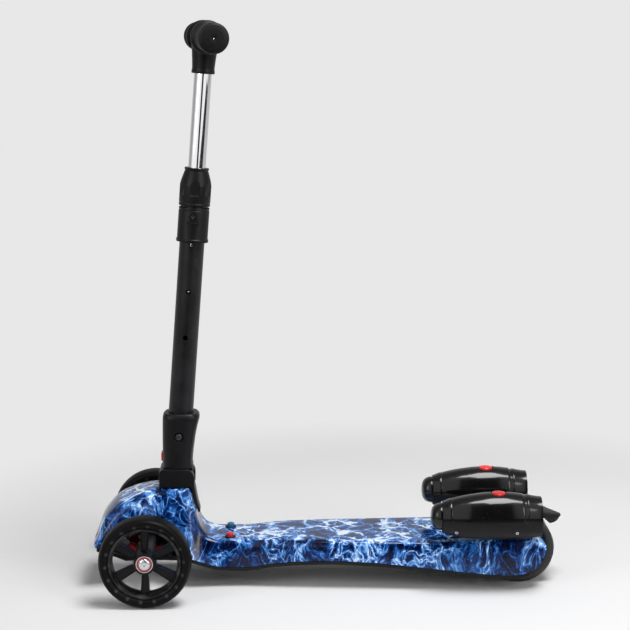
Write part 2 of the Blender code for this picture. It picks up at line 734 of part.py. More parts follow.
def make_cushion(name, x, aim):
    """A red rubber cushion that lies across the floor beside the beam and stops its swing."""
    near, far = CUSHION_Y
    middle = (near + far) / 2
    profile = [
        (0, far),
        (CUSHION_R - CUSHION_EDGE, far),
        (CUSHION_R, far - CUSHION_EDGE),
        (CUSHION_R, middle + 2 * CUSHION_WAIST),
        (CUSHION_R - CUSHION_WAIST, middle),
        (CUSHION_R, middle - 2 * CUSHION_WAIST),
        (CUSHION_R, near + CUSHION_EDGE),
        (CUSHION_R - CUSHION_EDGE, near),
        (0, near),
    ]
    turned(name, profile, RED, (x, 0, FLOOR_Z[1] + GAP + CUSHION_R), aim, 20)


# Wheels


def tyre_profile(radius, inner, width, edge):
    """A tyre with rounded shoulders, as a closed ring."""
    half = width / 2
    crown = [
        (radius - edge * max(0.0, (abs(t) - 0.4) / 0.6) ** 2, half * t) for t in (1, 0.8, 0.4, -0.4, -0.8, -1)
    ]
    return [*crown, (inner, -half * HUB_SHARE), (inner, half * HUB_SHARE)]


def make_front_wheel(side, word, aim):
    place = {"location": (0, side * FRONT_TRACK / 2, FRONT_WHEEL_R), "rotation": aim}
    tyre = tyre_profile(FRONT_WHEEL_R, FRONT_RIM_R + GAP, FRONT_TYRE_W, FRONT_TYRE_EDGE)
    turned(f"front_tyre_{word}", tyre, TYRE, steps=40, **place)
    half = FRONT_HUB_W / 2
    web = FRONT_WEB_T / 2
    profile = [
        (FRONT_RIM_R, half),
        (FRONT_RIM_R, -half),
        (FRONT_WINDOW_OUT, -half),
        (FRONT_WINDOW_OUT, -web),
        (HUB_BOSS_R, -web),
        (HUB_BOSS_R, -half),
        (BEARING_R + GAP, -half),
        (BEARING_R + GAP, half),
        (HUB_BOSS_R, half),
        (HUB_BOSS_R, web),
        (FRONT_WINDOW_OUT, web),
        (FRONT_WINDOW_OUT, half),
    ]
    hub = turned(f"front_hub_{word}", profile, BLACK_SATIN, steps=30, **place)
    for index in range(FRONT_SPOKES):
        cutter = hub_window(f"window_{word}_{index}", index)
        cutter.location, cutter.rotation_euler = place["location"], aim
        boolean(hub, cutter)
    bearing = [
        (BEARING_R, half),
        (BEARING_R, half - BEARING_W),
        (SPACER_R, half - BEARING_W),
        (SPACER_R, -half + BEARING_W),
        (BEARING_R, -half + BEARING_W),
        (BEARING_R, -half),
        (AXLE_R + BORE_GAP, -half),
        (AXLE_R + BORE_GAP, half),
    ]
    turned(f"front_bearing_{word}", bearing, STEEL, steps=16, **place)


def hub_window(name, index):
    """One hole between two spokes, as a prism across the hub."""
    pitch = 2 * math.pi / FRONT_SPOKES
    middle = (index + 0.5) * pitch + math.pi / 2
    outline = []
    for radius, order, count in ((FRONT_WINDOW_OUT - 0.0004, 1, 4), (FRONT_WINDOW_IN, -1, 2)):
        half = pitch / 2 - math.asin(FRONT_SPOKE_W / 2 / radius)
        for i in range(count + 1):
            angle = middle + order * half * (2 * i / count - 1)
            outline.append((radius * math.cos(angle), radius * math.sin(angle)))
    return loft(name, [[(x, y, z) for x, y in outline] for z in (-FRONT_WEB_T, FRONT_WEB_T)])


def make_rear_wheel(side, word, aim):
    place = {"location": (REAR_AXLE_X, side * REAR_WHEEL_Y, REAR_WHEEL_R), "rotation": aim}
    tyre = tyre_profile(REAR_WHEEL_R, REAR_RIM_R + GAP, REAR_TYRE_W, REAR_TYRE_EDGE)
    turned(f"rear_tyre_{word}", tyre, TYRE, steps=32, **place)
    half = REAR_TYRE_W / 2 * HUB_SHARE
    web = REAR_WEB_T / 2
    profile = [
        (REAR_RIM_R, half),
        (REAR_RIM_R, -half),
        (REAR_RIM_R - REAR_RIM_T, -half),
        (REAR_RIM_R - REAR_RIM_T, -web),
        (HUB_BOSS_R, -web),
        (HUB_BOSS_R, -half),
        (AXLE_R + BORE_GAP, -half),
        (AXLE_R + BORE_GAP, half),
        (HUB_BOSS_R, half),
        (HUB_BOSS_R, web),
        (REAR_RIM_R - REAR_RIM_T, web),
        (REAR_RIM_R - REAR_RIM_T, half),
    ]
    turned(f"rear_hub_{word}", profile, BLACK_SATIN, **place)


def make_rear_axle():
    reach = AXLE_BLOCK_Y[1] + 0.001
    rod("rear_axle", AXLE_R, -reach, reach, STEEL, location=(REAR_AXLE_X, 0, REAR_WHEEL_R), rotation=AIM_RIGHT)


# Fold joint


def make_fold_base():
    low = NECK_TOP_Z + GAP
    front = (BASE_X[0] + BASE_FRONT_R, BASE_TOP_Z - BASE_FRONT_R)
    outline = [(BASE_X[0], low), (BASE_X[1], low)]
    outline += arc((FOLD_X, FOLD_Z), FOLD_R, 0, 90, 6)
    outline += arc(front, BASE_FRONT_R, 90, 180, 3)
    base = bevelled(plate("fold_base", outline, BASE_Y, BLACK_SATIN), BASE_EDGE)
    plug = block("base_plug", BASE_PLUG_X, BASE_PLUG_Y, (CAST_TOP_Z + GAP, low + 0.004))
    boolean(base, plug, "UNION")
    rows = [[(x0, -half, z), (x1, -half, z), (x1, half, z), (x0, half, z)] for z, x0, x1, half in TAIL_ROWS]
    boolean(base, loft("base_tail", rows), "UNION")
    run = TONGUE_R + TONGUE_RUN
    slot_x = (FOLD_X - run, BASE_X[1] + 0.02)
    boolean(base, block("tongue_slot", slot_x, TONGUE_Y + GAP, (FOLD_Z - run, BASE_TOP_Z + 0.01)))
    pierce_across(base, "fold_pin_cut", FOLD_PIN_R + BORE_GAP, 0.05, FOLD_X, FOLD_Z)
    reach = BASE_Y - FOLD_PIN_IN
    rod("fold_pin", FOLD_PIN_R, -reach, reach, STEEL, location=(FOLD_X, 0, FOLD_Z), rotation=AIM_RIGHT)


def blunt_ring(height, x0, x1, half_y, count=24, power=3.2):
    """A rounded rectangle ring at one height, from a superellipse."""
    middle, half_x = (x0 + x1) / 2, (x1 - x0) / 2
    ring = []
    for i in range(count):
        angle = 2 * math.pi * i / count
        c, s = math.cos(angle), math.sin(angle)
        x = middle + half_x * math.copysign(abs(c) ** (2 / power), c)
        ring.append((x, half_y * math.copysign(abs(s) ** (2 / power), s), height))
    return ring


def make_fold_sleeve():
    sleeve = loft("fold_sleeve", [blunt_ring(*row) for row in SLEEVE_ROWS], BLACK_SATIN)
    tongue_x = (FOLD_X - TONGUE_R + 0.0005, FOLD_X + TONGUE_R - 0.0005)
    tongue = block("tongue_block", tongue_x, TONGUE_Y, (FOLD_Z, SLEEVE_LOW_Z + 0.006))
    boolean(sleeve, tongue, "UNION")
    place = {"location": (FOLD_X, 0, FOLD_Z), "rotation": AIM_RIGHT}
    boolean(sleeve, rod("tongue_round", TONGUE_R, -TONGUE_Y, TONGUE_Y, steps=32, **place), "UNION")
    pierce_across(sleeve, "tongue_bore", FOLD_PIN_R + BORE_GAP, 0.05, FOLD_X, FOLD_Z)
    seat = OUTER_TUBE_S[0] - GAP
    pierce(sleeve, "tube_seat", OUTER_TUBE_R + BORE_GAP, seat, 0.26, steps=32, parent=MAST)
    pocket_x = (0.0, SLEEVE_FRONT_X + CATCH_T + CATCH_TRAVEL)
    pocket_z = (CATCH_Z[0] - GAP, CATCH_Z[1] + GAP)
    boolean(sleeve, block("catch_pocket", pocket_x, CATCH_Y + GAP, pocket_z))
    hole, recess = MAST_BOLT_R + BORE_GAP, MAST_BOLT_HEAD_R + GAP
    reach = [(recess, 0.04), (recess, MAST_BOLT_HALF), (hole, MAST_BOLT_HALF)]
    bore = [(0, 0.04), *reach, *[(radius, -place) for radius, place in reversed(reach)], (0, -0.04)]
    boolean(sleeve, turned("sleeve_bolt_bore", bore, RED, (0, 0, MAST_BOLT_S), AIM_LEFT, 20, MAST))


def make_mast_bolt():
    head = MAST_BOLT_HALF + GAP
    tail = -MAST_BOLT_HALF - MAST_BOLT_HEAD_T
    profile = [
        (0, head + MAST_BOLT_HEAD_T),
        (MAST_BOLT_HEAD_R - 0.0006, head + MAST_BOLT_HEAD_T),
        (MAST_BOLT_HEAD_R, head + MAST_BOLT_HEAD_T - 0.0008),
        (MAST_BOLT_HEAD_R, head),
        (MAST_BOLT_R, head),
        (MAST_BOLT_R, tail),
        (0, tail),
    ]
    turned("mast_bolt", profile, STEEL, (0, 0, MAST_BOLT_S), AIM_LEFT, 20, MAST)


def make_release_button():
    front = SLEEVE_FRONT_X - CATCH_OUT
    block("release_button", (front, front + CATCH_T), CATCH_Y, CATCH_Z, RED, 0.0018)


# Mast tubes and clamp


def make_outer_tube():
    inner = OUTER_TUBE_R - OUTER_TUBE_WALL
    made = tube("outer_tube", OUTER_TUBE_R, inner, *OUTER_TUBE_S, BLACK_SATIN, steps=32, parent=MAST)
    for index in (-1, 0, 1):
        place = {"location": (0, 0, SNAP_S + index * HOLE_PITCH), "rotation": AIM_LEFT, "parent": MAST}
        pierce(made, f"height_hole_{index + 1}", HOLE_R, 0.005, 0.03, **place)
    pierce_across(made, "tube_bolt_cut", MAST_BOLT_R + BORE_GAP, 0.04, 0, MAST_BOLT_S, MAST)


def make_clamp():
    low, high = CLAMP_BODY_S
    bore = OUTER_TUBE_R + BORE_GAP
    body = [
        (CLAMP_BODY_R, high),
        (CLAMP_BODY_R, low + CLAMP_RIM_L),
        (CLAMP_BODY_R + CLAMP_RIM, low + CLAMP_RIM_L - CLAMP_RIM),
        (CLAMP_BODY_R + CLAMP_RIM, low),
        (bore, low),
        (bore, high),
    ]
    turned("clamp_body", body, BLACK_SATIN, parent=MAST)
    low, high = CLAMP_NUT_S
    shoulder = OUTER_TUBE_S[1] + BUSH_FLANGE_T + 2 * GAP
    nut = [
        (CLAMP_LIP_R, high),
        (CLAMP_LIP_R, high - 0.005),
        (CLAMP_LIP_R + 0.0012, high - 0.010),
        (CLAMP_NUT_R, high - 0.022),
        (CLAMP_NUT_R, low),
        (bore, low),
        (bore, shoulder),
        (INNER_TUBE_R + BORE_GAP, shoulder),
        (INNER_TUBE_R + BORE_GAP, high),
    ]
    made = turned("clamp_nut", nut, BLACK_SATIN, parent=MAST)
    flat_low = (-NUT_FLAT_W / 2, -0.04, NUT_FLAT_S[0])
    flat_high = (NUT_FLAT_W / 2, -CLAMP_NUT_R + NUT_FLAT_DEEP, NUT_FLAT_S[1])
    boolean(made, box("nut_flat", flat_low, flat_high, parent=MAST))
    top = OUTER_TUBE_S[1] + GAP
    inside = OUTER_TUBE_R - OUTER_TUBE_WALL - GAP
    bush = [
        (OUTER_TUBE_R, top + BUSH_FLANGE_T),
        (OUTER_TUBE_R, top),
        (inside, top),
        (inside, top - BUSH_L),
        (INNER_TUBE_R + BORE_GAP, top - BUSH_L),
        (INNER_TUBE_R + BORE_GAP, top + BUSH_FLANGE_T),
    ]
    turned("guide_bush", bush, RUBBER, parent=MAST)


# Sliding T-bar


def make_bar():
    wall = INNER_TUBE_R - INNER_TUBE_WALL
    inner = tube("inner_tube", INNER_TUBE_R, wall, *INNER_TUBE_S, CHROME, parent=MAST)
    pierce_across(inner, "bar_seat_cut", BAR_TUBE_R + GAP, 0.05, 0, 0, BAR)
    snap_place = {"location": (0, 0, SNAP_S), "rotation": AIM_LEFT, "parent": MAST}
    pierce(inner, "snap_cut", SNAP_R + BORE_GAP, 0.004, 0.03, **snap_place)
    low = INNER_TUBE_S[0]
    outside = OUTER_TUBE_R - OUTER_TUBE_WALL - GAP
    plug = tube("glide_plug", outside, INNER_TUBE_R + GAP, low, low + PLUG_L, RUBBER, parent=MAST)
    pierce(plug, "plug_snap_cut", SNAP_R + BORE_GAP, 0.004, 0.03, **snap_place)
    dome = arc((SNAP_R - 0.0012, outside - 0.0013), 0.0012, 90, 0, 3)
    snap = [(0, outside - 0.0001), *dome, (SNAP_R, outside - SNAP_L), (0, outside - SNAP_L)]
    turned("snap_button", snap, STEEL, steps=16, **snap_place)
    make_t_joint()
    reach = BAR_HALF - BAR_TUBE_IN
    wall = BAR_TUBE_R - BAR_TUBE_WALL
    tube("crossbar", BAR_TUBE_R, wall, -reach, reach, STEEL, rotation=AIM_RIGHT, parent=BAR)


def make_t_joint():
    made = rod("t_joint", T_SLEEVE_R, T_SLEEVE_S - BAR_S, 0.0, BLACK_SATIN, 24, parent=BAR)
    place = {"rotation": AIM_RIGHT, "parent": BAR}
    boolean(made, rod("t_cross", T_CROSS_R, -T_CROSS_HALF, T_CROSS_HALF, steps=24, **place), "UNION")
    pierce(made, "t_bar_cut", BAR_TUBE_R + GAP, -0.05, 0.05, steps=24, **place)
    pierce(made, "t_stem_cut", INNER_TUBE_R + GAP, -0.06, -0.004, steps=24, parent=BAR)


def make_grip(word, aim):
    """A ribbed rubber grip, open at its inner end and shut by its end disc."""
    bore = BAR_TUBE_R + GAP
    stop = BAR_HALF - BAR_TUBE_IN + GAP
    disc = BAR_HALF - GRIP_END_T
    start, end = GRIP_IN + GRIP_FLANGE_T + 0.003, disc - 0.005
    pitch = (end - start) / GRIP_RIBS
    ribs = []
    for i in range(GRIP_RIBS):
        foot = start + i * pitch
        crest = GRIP_R + GRIP_RIB
        ribs += [(GRIP_R, foot), (crest, foot + pitch * 0.35), (crest, foot + pitch * 0.65)]
    outer = [
        (0, BAR_HALF),
        (GRIP_END_R - 0.0015, BAR_HALF),
        (GRIP_END_R, BAR_HALF - 0.0015),
        (GRIP_END_R, disc),
        (GRIP_R, disc - 0.003),
        *reversed(ribs),
        (GRIP_FLANGE_R, GRIP_IN + GRIP_FLANGE_T),
        (GRIP_FLANGE_R, GRIP_IN),
        (bore, GRIP_IN),
        (bore, stop),
        (0, stop),
    ]
    turned(f"grip_{word}", outer, RUBBER, (0, 0, 0), aim, 24, BAR)


# Mist jets


def jet_ring(x, y, halves, inset=0.0):
    """Section of a jet: half an ellipse above its seam, a keel that draws in to a flat foot below it."""
    half = between(JET_STATIONS, x, JET_WIDE) - inset
    up = between(JET_STATIONS, x, JET_TOP) - JET_SPLIT_Z - inset
    down = JET_SPLIT_Z - between(JET_STATIONS, x, JET_LOW) - inset
    turns = [math.pi * i / 12 for i in range(13)]
    over = [(half * math.cos(turn), JET_SPLIT_Z + up * math.sin(turn)) for turn in turns]
    under = [(half * wide, JET_SPLIT_Z - down * deep) for wide, deep in JET_UNDER]
    keel = [(-across, z) for across, z in under] + list(reversed(under))
    if halves == "upper":
        line = [(across, max(z, JET_SPLIT_Z + GAP)) for across, z in over]
    elif halves == "lower":
        line = [(-half, JET_SPLIT_Z), *keel, (half, JET_SPLIT_Z)]
    else:
        line = over + keel
    return [(x, y + across, z) for across, z in line]


def make_jet(side, word):
    y = side * JET_Y
    ends = (JET_STATIONS[0][0], JET_STATIONS[-1][0])
    places = [row[0] for row in JET_STATIONS]
    room_places = [x for x in places if x > JET_ROOM_X]
    room_rings = [jet_ring(x, y, "both", JET_WALL) for x in (JET_ROOM_X, *room_places)]
    room_rings.append([(x + 0.01, y_, z) for x, y_, z in room_rings[-1]])
    room = loft(f"jet_room_{word}", room_rings)
    groove = (JET_GROOVE_X[0] - JET_STEP, JET_GROOVE_X[0], JET_GROOVE_X[1] - JET_STEP, JET_GROOVE_X[1])
    collar = (JET_COLLAR_END_X, JET_COLLAR_END_X + JET_STEP)
    rings = []
    for x in sorted({*places[:6], ends[1], *groove, *collar}):
        lift = JET_COLLAR_UP if x <= JET_COLLAR_END_X else 0.0
        deep = JET_GROOVE_DEEP if x in groove[1:3] else 0.0
        rings.append(jet_ring(x, y, "upper", deep - lift))
    cover = loft(f"jet_cover_{word}", rings, BLACK_GLOSS)
    boolean(cover, room)
    pierce(cover, f"cap_cut_{word}", CAP_R + GAP, 0.1175, 0.15, steps=24, location=(CAP_X, y, 0))
    cradle = loft(f"jet_cradle_{word}", [jet_ring(x, y, "lower") for x in places], BLACK_SATIN)
    near, far = sorted((side * JET_FOOT_Y[0], side * JET_FOOT_Y[1]))
    foot_low = (JET_FOOT_X[0], near, REAR_TOP_Z + GAP)
    foot_high = (JET_FOOT_X[1], far, between(JET_STATIONS, JET_FOOT_X[0], JET_LOW) + 0.004)
    boolean(cradle, box(f"jet_foot_{word}", foot_low, foot_high), "UNION")
    boolean(cradle, room)
    turn = {"location": (0, y, JET_NOSE_Z), "rotation": AIM_REAR}
    front, rear = JET_NOSE_X
    dome = [(0, rear), (JET_NOSE[0][0], rear), *JET_NOSE, (0, front)]
    turned(f"jet_nose_{word}", dome, BLACK_GLOSS, steps=28, **turn)
    make_nozzle(y, word)
    make_tank_and_cap(y, word)


def make_nozzle(y, word):
    """The plate that shuts the back of a jet, dished round its outlet hole."""
    inset = JET_WALL + GAP
    made = loft(f"jet_nozzle_{word}", [jet_ring(x, y, "both", inset) for x in NOZZLE_X], BLACK_GLOSS)
    dish = [
        (0, NOZZLE_X[1] + 0.01),
        (NOZZLE_MOUTH_R + 0.001, NOZZLE_X[1] + 0.01),
        (NOZZLE_MOUTH_R, NOZZLE_X[1]),
        (NOZZLE_THROAT_R, NOZZLE_THROAT_X),
        (0, NOZZLE_THROAT_X),
    ]
    place = {"location": (0, y, NOZZLE_Z), "rotation": AIM_REAR}
    boolean(made, turned(f"nozzle_dish_{word}", dish, RED, steps=28, **place))
    pierce(made, f"nozzle_hole_{word}", NOZZLE_HOLE_R, NOZZLE_X[0] - 0.01, NOZZLE_THROAT_X + 0.005, **place)


def make_tank_and_cap(y, word):
    low = (TANK_X[0], y - TANK_Y, TANK_Z[0])
    high = (TANK_X[1], y + TANK_Y, TANK_Z[1])
    tank = box(f"steam_tank_{word}", low, high, CLEAR, 0.003)
    place = {"location": (CAP_X, y, 0)}
    neck = rod(f"tank_neck_{word}", TANK_NECK_R - 0.0005, TANK_Z[1] - 0.004, CAP_LOW_Z - GAP, **place)
    boolean(tank, neck, "UNION")
    top = between(JET_STATIONS, CAP_X, JET_TOP) + CAP_UP
    cap = [
        (0, top),
        (CAP_R * 0.55, top - 0.0002),
        (CAP_R * 0.92, top - 0.0012),
        (CAP_R, top - 0.0022),
        (CAP_R, CAP_LOW_Z),
        (0, CAP_LOW_Z),
    ]
    turned(f"jet_cap_{word}", cap, RED, **place)


# Brake flap


def flap_ring(x, over, half, low):
    """One section of the brake flap: a plate over the wheels that ends in a thick foot tongue."""
    near = REAR_WHEEL_R + FLAP_GAP
    along = min(abs(x - REAR_AXLE_X), near)
    under = max(REAR_WHEEL_R + math.sqrt(near * near - along * along), low)
    side = under + (over - under) * 0.55
    right = [(half * 0.75, over), (half, side), (half, under)]
    return [(x, -y, z) for y, z in reversed(right)] + [(x, y, z) for y, z in right]


def make_brake_flap():
    flap = loft("brake_flap", [flap_ring(*row) for row in FLAP_ROWS], BLACK_SATIN)
    for side, word, aim in SIDES:
        place = {"location": (BRAKE_PIN_X, 0, BRAKE_PIN_Z), "rotation": aim}
        boolean(flap, rod(f"flap_knuckle_{word}", KNUCKLE_R, *KNUCKLE_Y, **place), "UNION")
        near, far = sorted((side * KNUCKLE_Y[0], side * KNUCKLE_Y[1]))
        low = (BRAKE_PIN_X, near, BRAKE_PIN_Z + 0.001)
        high = (KNUCKLE_REAR_X, far, BRAKE_PIN_Z + KNUCKLE_R)
        boolean(flap, box(f"flap_web_{word}", low, high), "UNION")
    pierce_across(flap, "flap_pin_cut", BRAKE_PIN_R + BORE_GAP, 0.05, BRAKE_PIN_X, BRAKE_PIN_Z)
    mount_x = (BRAKE_PIN_X - BRAKE_MOUNT_L / 2, BRAKE_PIN_X + BRAKE_MOUNT_L / 2)
    mount_z = (REAR_TOP_Z + GAP, BRAKE_PIN_Z + BRAKE_MOUNT_UP)
    mount = block("brake_mount", mount_x, BRAKE_MOUNT_Y, mount_z, BLACK_SATIN, 0.0015)
    pierce_across(mount, "mount_pin_cut", BRAKE_PIN_R + BORE_GAP, 0.05, BRAKE_PIN_X, BRAKE_PIN_Z)
    reach = FLAP_HALF - BRAKE_PIN_IN
    place = {"location": (BRAKE_PIN_X, 0, BRAKE_PIN_Z), "rotation": AIM_RIGHT}
    rod("brake_pin", BRAKE_PIN_R, -reach, reach, STEEL, **place)


# Buttons and electrics


def make_button(name, side, finish):
    top = between(STATIONS, BUTTON_X, TOP)
    under = top - DECK_WALL - RUN_GAP
    profile = [
        (0, top + BUTTON_UP),
        (BUTTON_R * 0.7, top + BUTTON_UP - 0.0003),
        (BUTTON_R, top + BUTTON_UP - 0.0018),
        (BUTTON_R, under),
        (BUTTON_FLANGE_R, under),
        (BUTTON_FLANGE_R, under - BUTTON_FLANGE_T),
        (0, under - BUTTON_FLANGE_T),
    ]
    turned(name, profile, finish, (BUTTON_X, side * BUTTON_Y, 0))


def lay_on_tray(made, x):
    """Seats a piece on the sloped floor of the tray at x."""
    step = 0.005
    low, high = between(STATIONS, x - step, LOW), between(STATIONS, x + step, LOW)
    slope = math.atan2(high - low, 2 * step)
    turn = Matrix.Rotation(-slope, 4, "Y")
    floor = Vector((x, 0, between(STATIONS, x, LOW) - SEAM_GAP))
    made.matrix_local = Matrix.Translation(floor) @ turn @ Matrix.Translation(made.location)


def make_electrics():
    block("battery_cover", COVER_X, COVER_Y, COVER_Z, BLACK_SATIN)
    floor = max(between(STATIONS, x, LOW) for x in (*PACK_X, 0.240))
    block("battery_pack", PACK_X, PACK_Y, (floor + GAP - SEAM_GAP, floor + PACK_H), CELL, 0.002)
    board = block("circuit_board", (-BOARD_HALF, BOARD_HALF), BOARD_HALF, (GAP, GAP + BOARD_T), BOARD)
    lay_on_tray(board, BOARD_X)
    cone = [(0, SPEAKER[0][1]), *SPEAKER, (0, SPEAKER[-1][1])]
    lay_on_tray(turned("speaker", cone, BLACK_SATIN), SPEAKER_X)
    make_nose_strip("nose_light", 0.0)


make_deck_shell()
make_deck_tray()
make_head_casting()
make_kingpin()
make_axle_beam()
for SIDE, WORD, AIM in SIDES:
    make_axle_bolt(WORD, AIM)
    make_cushion(f"cushion_front_{WORD}", FRONT_CUSHION_X, AIM)
    make_cushion(f"cushion_rear_{WORD}", REAR_CUSHION_X, AIM)
    make_front_wheel(SIDE, WORD, AIM)
    make_rear_wheel(SIDE, WORD, AIM)
    make_jet(SIDE, WORD)
    make_grip(WORD, AIM)
make_rear_axle()
make_fold_base()
make_fold_sleeve()
make_mast_bolt()
make_release_button()
make_outer_tube()
make_clamp()
make_bar()
make_brake_flap()
make_button("light_button", -1, RED)
make_button("steam_button", 1, TEAL)
make_electrics()
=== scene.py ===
"""Looks of the child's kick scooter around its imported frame. Metres, +Z up, +X to the rear wheels."""

import math

import bmesh
import bpy
from mathutils import Matrix, Vector


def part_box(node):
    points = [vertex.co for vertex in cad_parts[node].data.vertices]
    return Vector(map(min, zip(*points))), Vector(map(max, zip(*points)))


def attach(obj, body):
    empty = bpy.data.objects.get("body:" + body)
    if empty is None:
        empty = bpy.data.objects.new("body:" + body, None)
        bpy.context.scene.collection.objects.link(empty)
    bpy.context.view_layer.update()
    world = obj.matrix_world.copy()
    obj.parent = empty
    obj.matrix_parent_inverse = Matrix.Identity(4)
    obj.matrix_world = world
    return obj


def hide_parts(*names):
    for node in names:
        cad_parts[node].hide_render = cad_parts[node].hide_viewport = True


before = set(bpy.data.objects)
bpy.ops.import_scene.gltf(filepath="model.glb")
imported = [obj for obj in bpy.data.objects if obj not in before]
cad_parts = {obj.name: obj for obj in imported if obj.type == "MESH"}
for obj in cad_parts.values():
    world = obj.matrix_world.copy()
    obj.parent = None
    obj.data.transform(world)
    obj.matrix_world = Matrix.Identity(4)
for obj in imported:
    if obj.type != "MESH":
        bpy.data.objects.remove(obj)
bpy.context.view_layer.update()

# Picture stand: a pale sweep of board that rises behind the scooter, soft boxes and the camera.
# Near the scooter the board is lit as it is and keeps the soft shadow. Further off it fades, for the
# camera alone, into one even pale tone. Places along X are counted from the front axle all through.

axle_low, axle_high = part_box("axle_beam")
AXLE_X = (axle_low.x + axle_high.x) / 2
EYE = (0.1552 + AXLE_X, -2.1663, 0.731)
EYE_RIGHT = (0.99955, -0.02975, 0.00368)
EYE_UP = (0.00138, 0.16827, 0.98574)
LENS = 94.57
SWEEP_TONE = (0.9, 0.9, 0.905)
BACK_TONE = (0.805, 0.805, 0.81)
# The apron, the strip of board towards the camera, is painted near black as painted shade for the unlit
# front of the studio.
APRON = (0.45, 0.6)
APRON_PAINTED_SHADE_TONE = (0.03, 0.03, 0.03)
SWEEP_HALF = 6.0
SWEEP_NEAR = -4.0
SWEEP_FOOT = 2.6
SWEEP_RISE = 1.4
SWEEP_TOP = 5.0


class Flow:
    """One socket of a node tree. Sums and products of it add their Math nodes."""

    def __init__(self, tree, socket):
        self.tree = tree
        self.socket = socket

    def node(self, kind, sockets=None, pick=0, stops=None, **settings):
        """Adds a node, sets what it is told, fills its sockets and gives one of its outputs."""
        made = self.tree.nodes.new(kind)
        for name, value in settings.items():
            setattr(made, name, value)
        if stops:
            ramp = made.color_ramp
            while len(ramp.elements) < len(stops):
                ramp.elements.new(0.5)
            for element, (where, colour) in zip(ramp.elements, stops):
                element.position = where
                element.color = (*colour, 1.0)
        for key, value in (sockets or {}).items():
            if isinstance(value, Flow):
                self.tree.links.new(value.socket, made.inputs[key])
            else:
                made.inputs[key].default_value = value
        return Flow(self.tree, made.outputs[pick])

    def maths(self, operation, first, second=0.0):
        return self.node("ShaderNodeMath", {0: first, 1: second}, operation=operation)

    def __add__(self, other):
        return self.maths("ADD", self, other)

    def __radd__(self, other):
        return self.maths("ADD", other, self)

    def __sub__(self, other):
        return self.maths("SUBTRACT", self, other)

    def __rsub__(self, other):
        return self.maths("SUBTRACT", other, self)

    def __mul__(self, other):
        return self.maths("MULTIPLY", self, other)

    def __rmul__(self, other):
        return self.maths("MULTIPLY", other, self)

    def __pow__(self, other):
        return self.maths("POWER", self, other)

    def __abs__(self):
        return self.maths("ABSOLUTE", self)

    def sine(self):
        return self.maths("SINE", self)

    def ridge(self, power):
        """1 in the middle of a noise's range, and less to both sides of it."""
        return (1.0 - abs(self * 2.0 - 1.0)) ** power

    def between(self, low, high):
        """0 below low and 1 above high, with a soft step from one to the other."""
        span = {0: self, 1: low, 2: high}
        return self.node("ShaderNodeMapRange", span, interpolation_type="SMOOTHSTEP")

    def blend(self, first, second):
        """A colour that goes from the first to the second as this value goes from 0 to 1."""
        both = {0: self}
        for index, colour in ((6, first), (7, second)):
            both[index] = colour if isinstance(colour, Flow) else (*colour, 1.0)
        return self.node("ShaderNodeMix", both, pick=2, data_type="RGBA")

    def axis(self, letter):
        return self.node("ShaderNodeSeparateXYZ", {0: self}, pick="XYZ".index(letter))

    def placed(self, size, shift=(0.0, 0.0, 0.0)):
        """The same coordinates from another centre and in another size, one number for each axis."""
        moved = self.node("ShaderNodeVectorMath", {0: self, 1: shift}, operation="SUBTRACT")
        return self.node("ShaderNodeVectorMath", {0: moved, 1: size}, operation="MULTIPLY")

    def swayed(self, sway, reach):
        """The same coordinates pushed about by another set of three values."""
        sockets = {0: sway, 1: reach, 2: self}
        return self.node("ShaderNodeVectorMath", sockets, operation="MULTIPLY_ADD")

    def noise(self, scale, detail=3.0, rough=0.5, warp=0.0, pick=0):
        sockets = {"Vector": self, "Scale": scale, "Detail": detail, "Roughness": rough}
        sockets["Distortion"] = warp
        return self.node("ShaderNodeTexNoise", sockets, pick=pick)

    def cells(self, scale, feature="F1"):
        return self.node("ShaderNodeTexVoronoi", {"Vector": self, "Scale": scale}, feature=feature)


def start_finish(name, constants):
    """A new finish with its fixed numbers on the shader's own sockets, and its Object coordinates."""
    made = bpy.data.materials.new(name)
    made.use_nodes = True
    shader = made.node_tree.nodes["Principled BSDF"]
    for socket, value in constants.items():
        shader.inputs[socket].default_value = value
    place = made.node_tree.nodes.new("ShaderNodeTexCoord")
    return made, Flow(made.node_tree, place.outputs["Object"])


def feed(made, colour, rough=None, height=None, deep=0.001, strength=1.0):
    """Links what changes over the surface into the shader, and a height through a Bump node."""
    tree = made.node_tree
    shader = tree.nodes["Principled BSDF"]
    tree.links.new(colour.socket, shader.inputs["Base Color"])
    if rough:
        tree.links.new(rough.socket, shader.inputs["Roughness"])
    if height:
        sockets = {"Height": height, "Distance": deep, "Strength": strength}
        bump = height.node("ShaderNodeBump", sockets)
        tree.links.new(bump.socket, shader.inputs["Normal"])
    return made


def distance(first, second):
    """How far a place is from a centre, from its offsets along two axes."""
    return (first * first + second * second) ** 0.5


def rays(tree):
    """Sockets that are 1 for what the camera sees, and for what glossy surfaces see."""
    path = tree.nodes.new("ShaderNodeLightPath")
    return path.outputs["Is Camera Ray"], path.outputs["Is Glossy Ray"]


def stand(name, data):
    """A new object in the scene."""
    made = bpy.data.objects.new(name, data)
    bpy.context.scene.collection.objects.link(made)
    return made


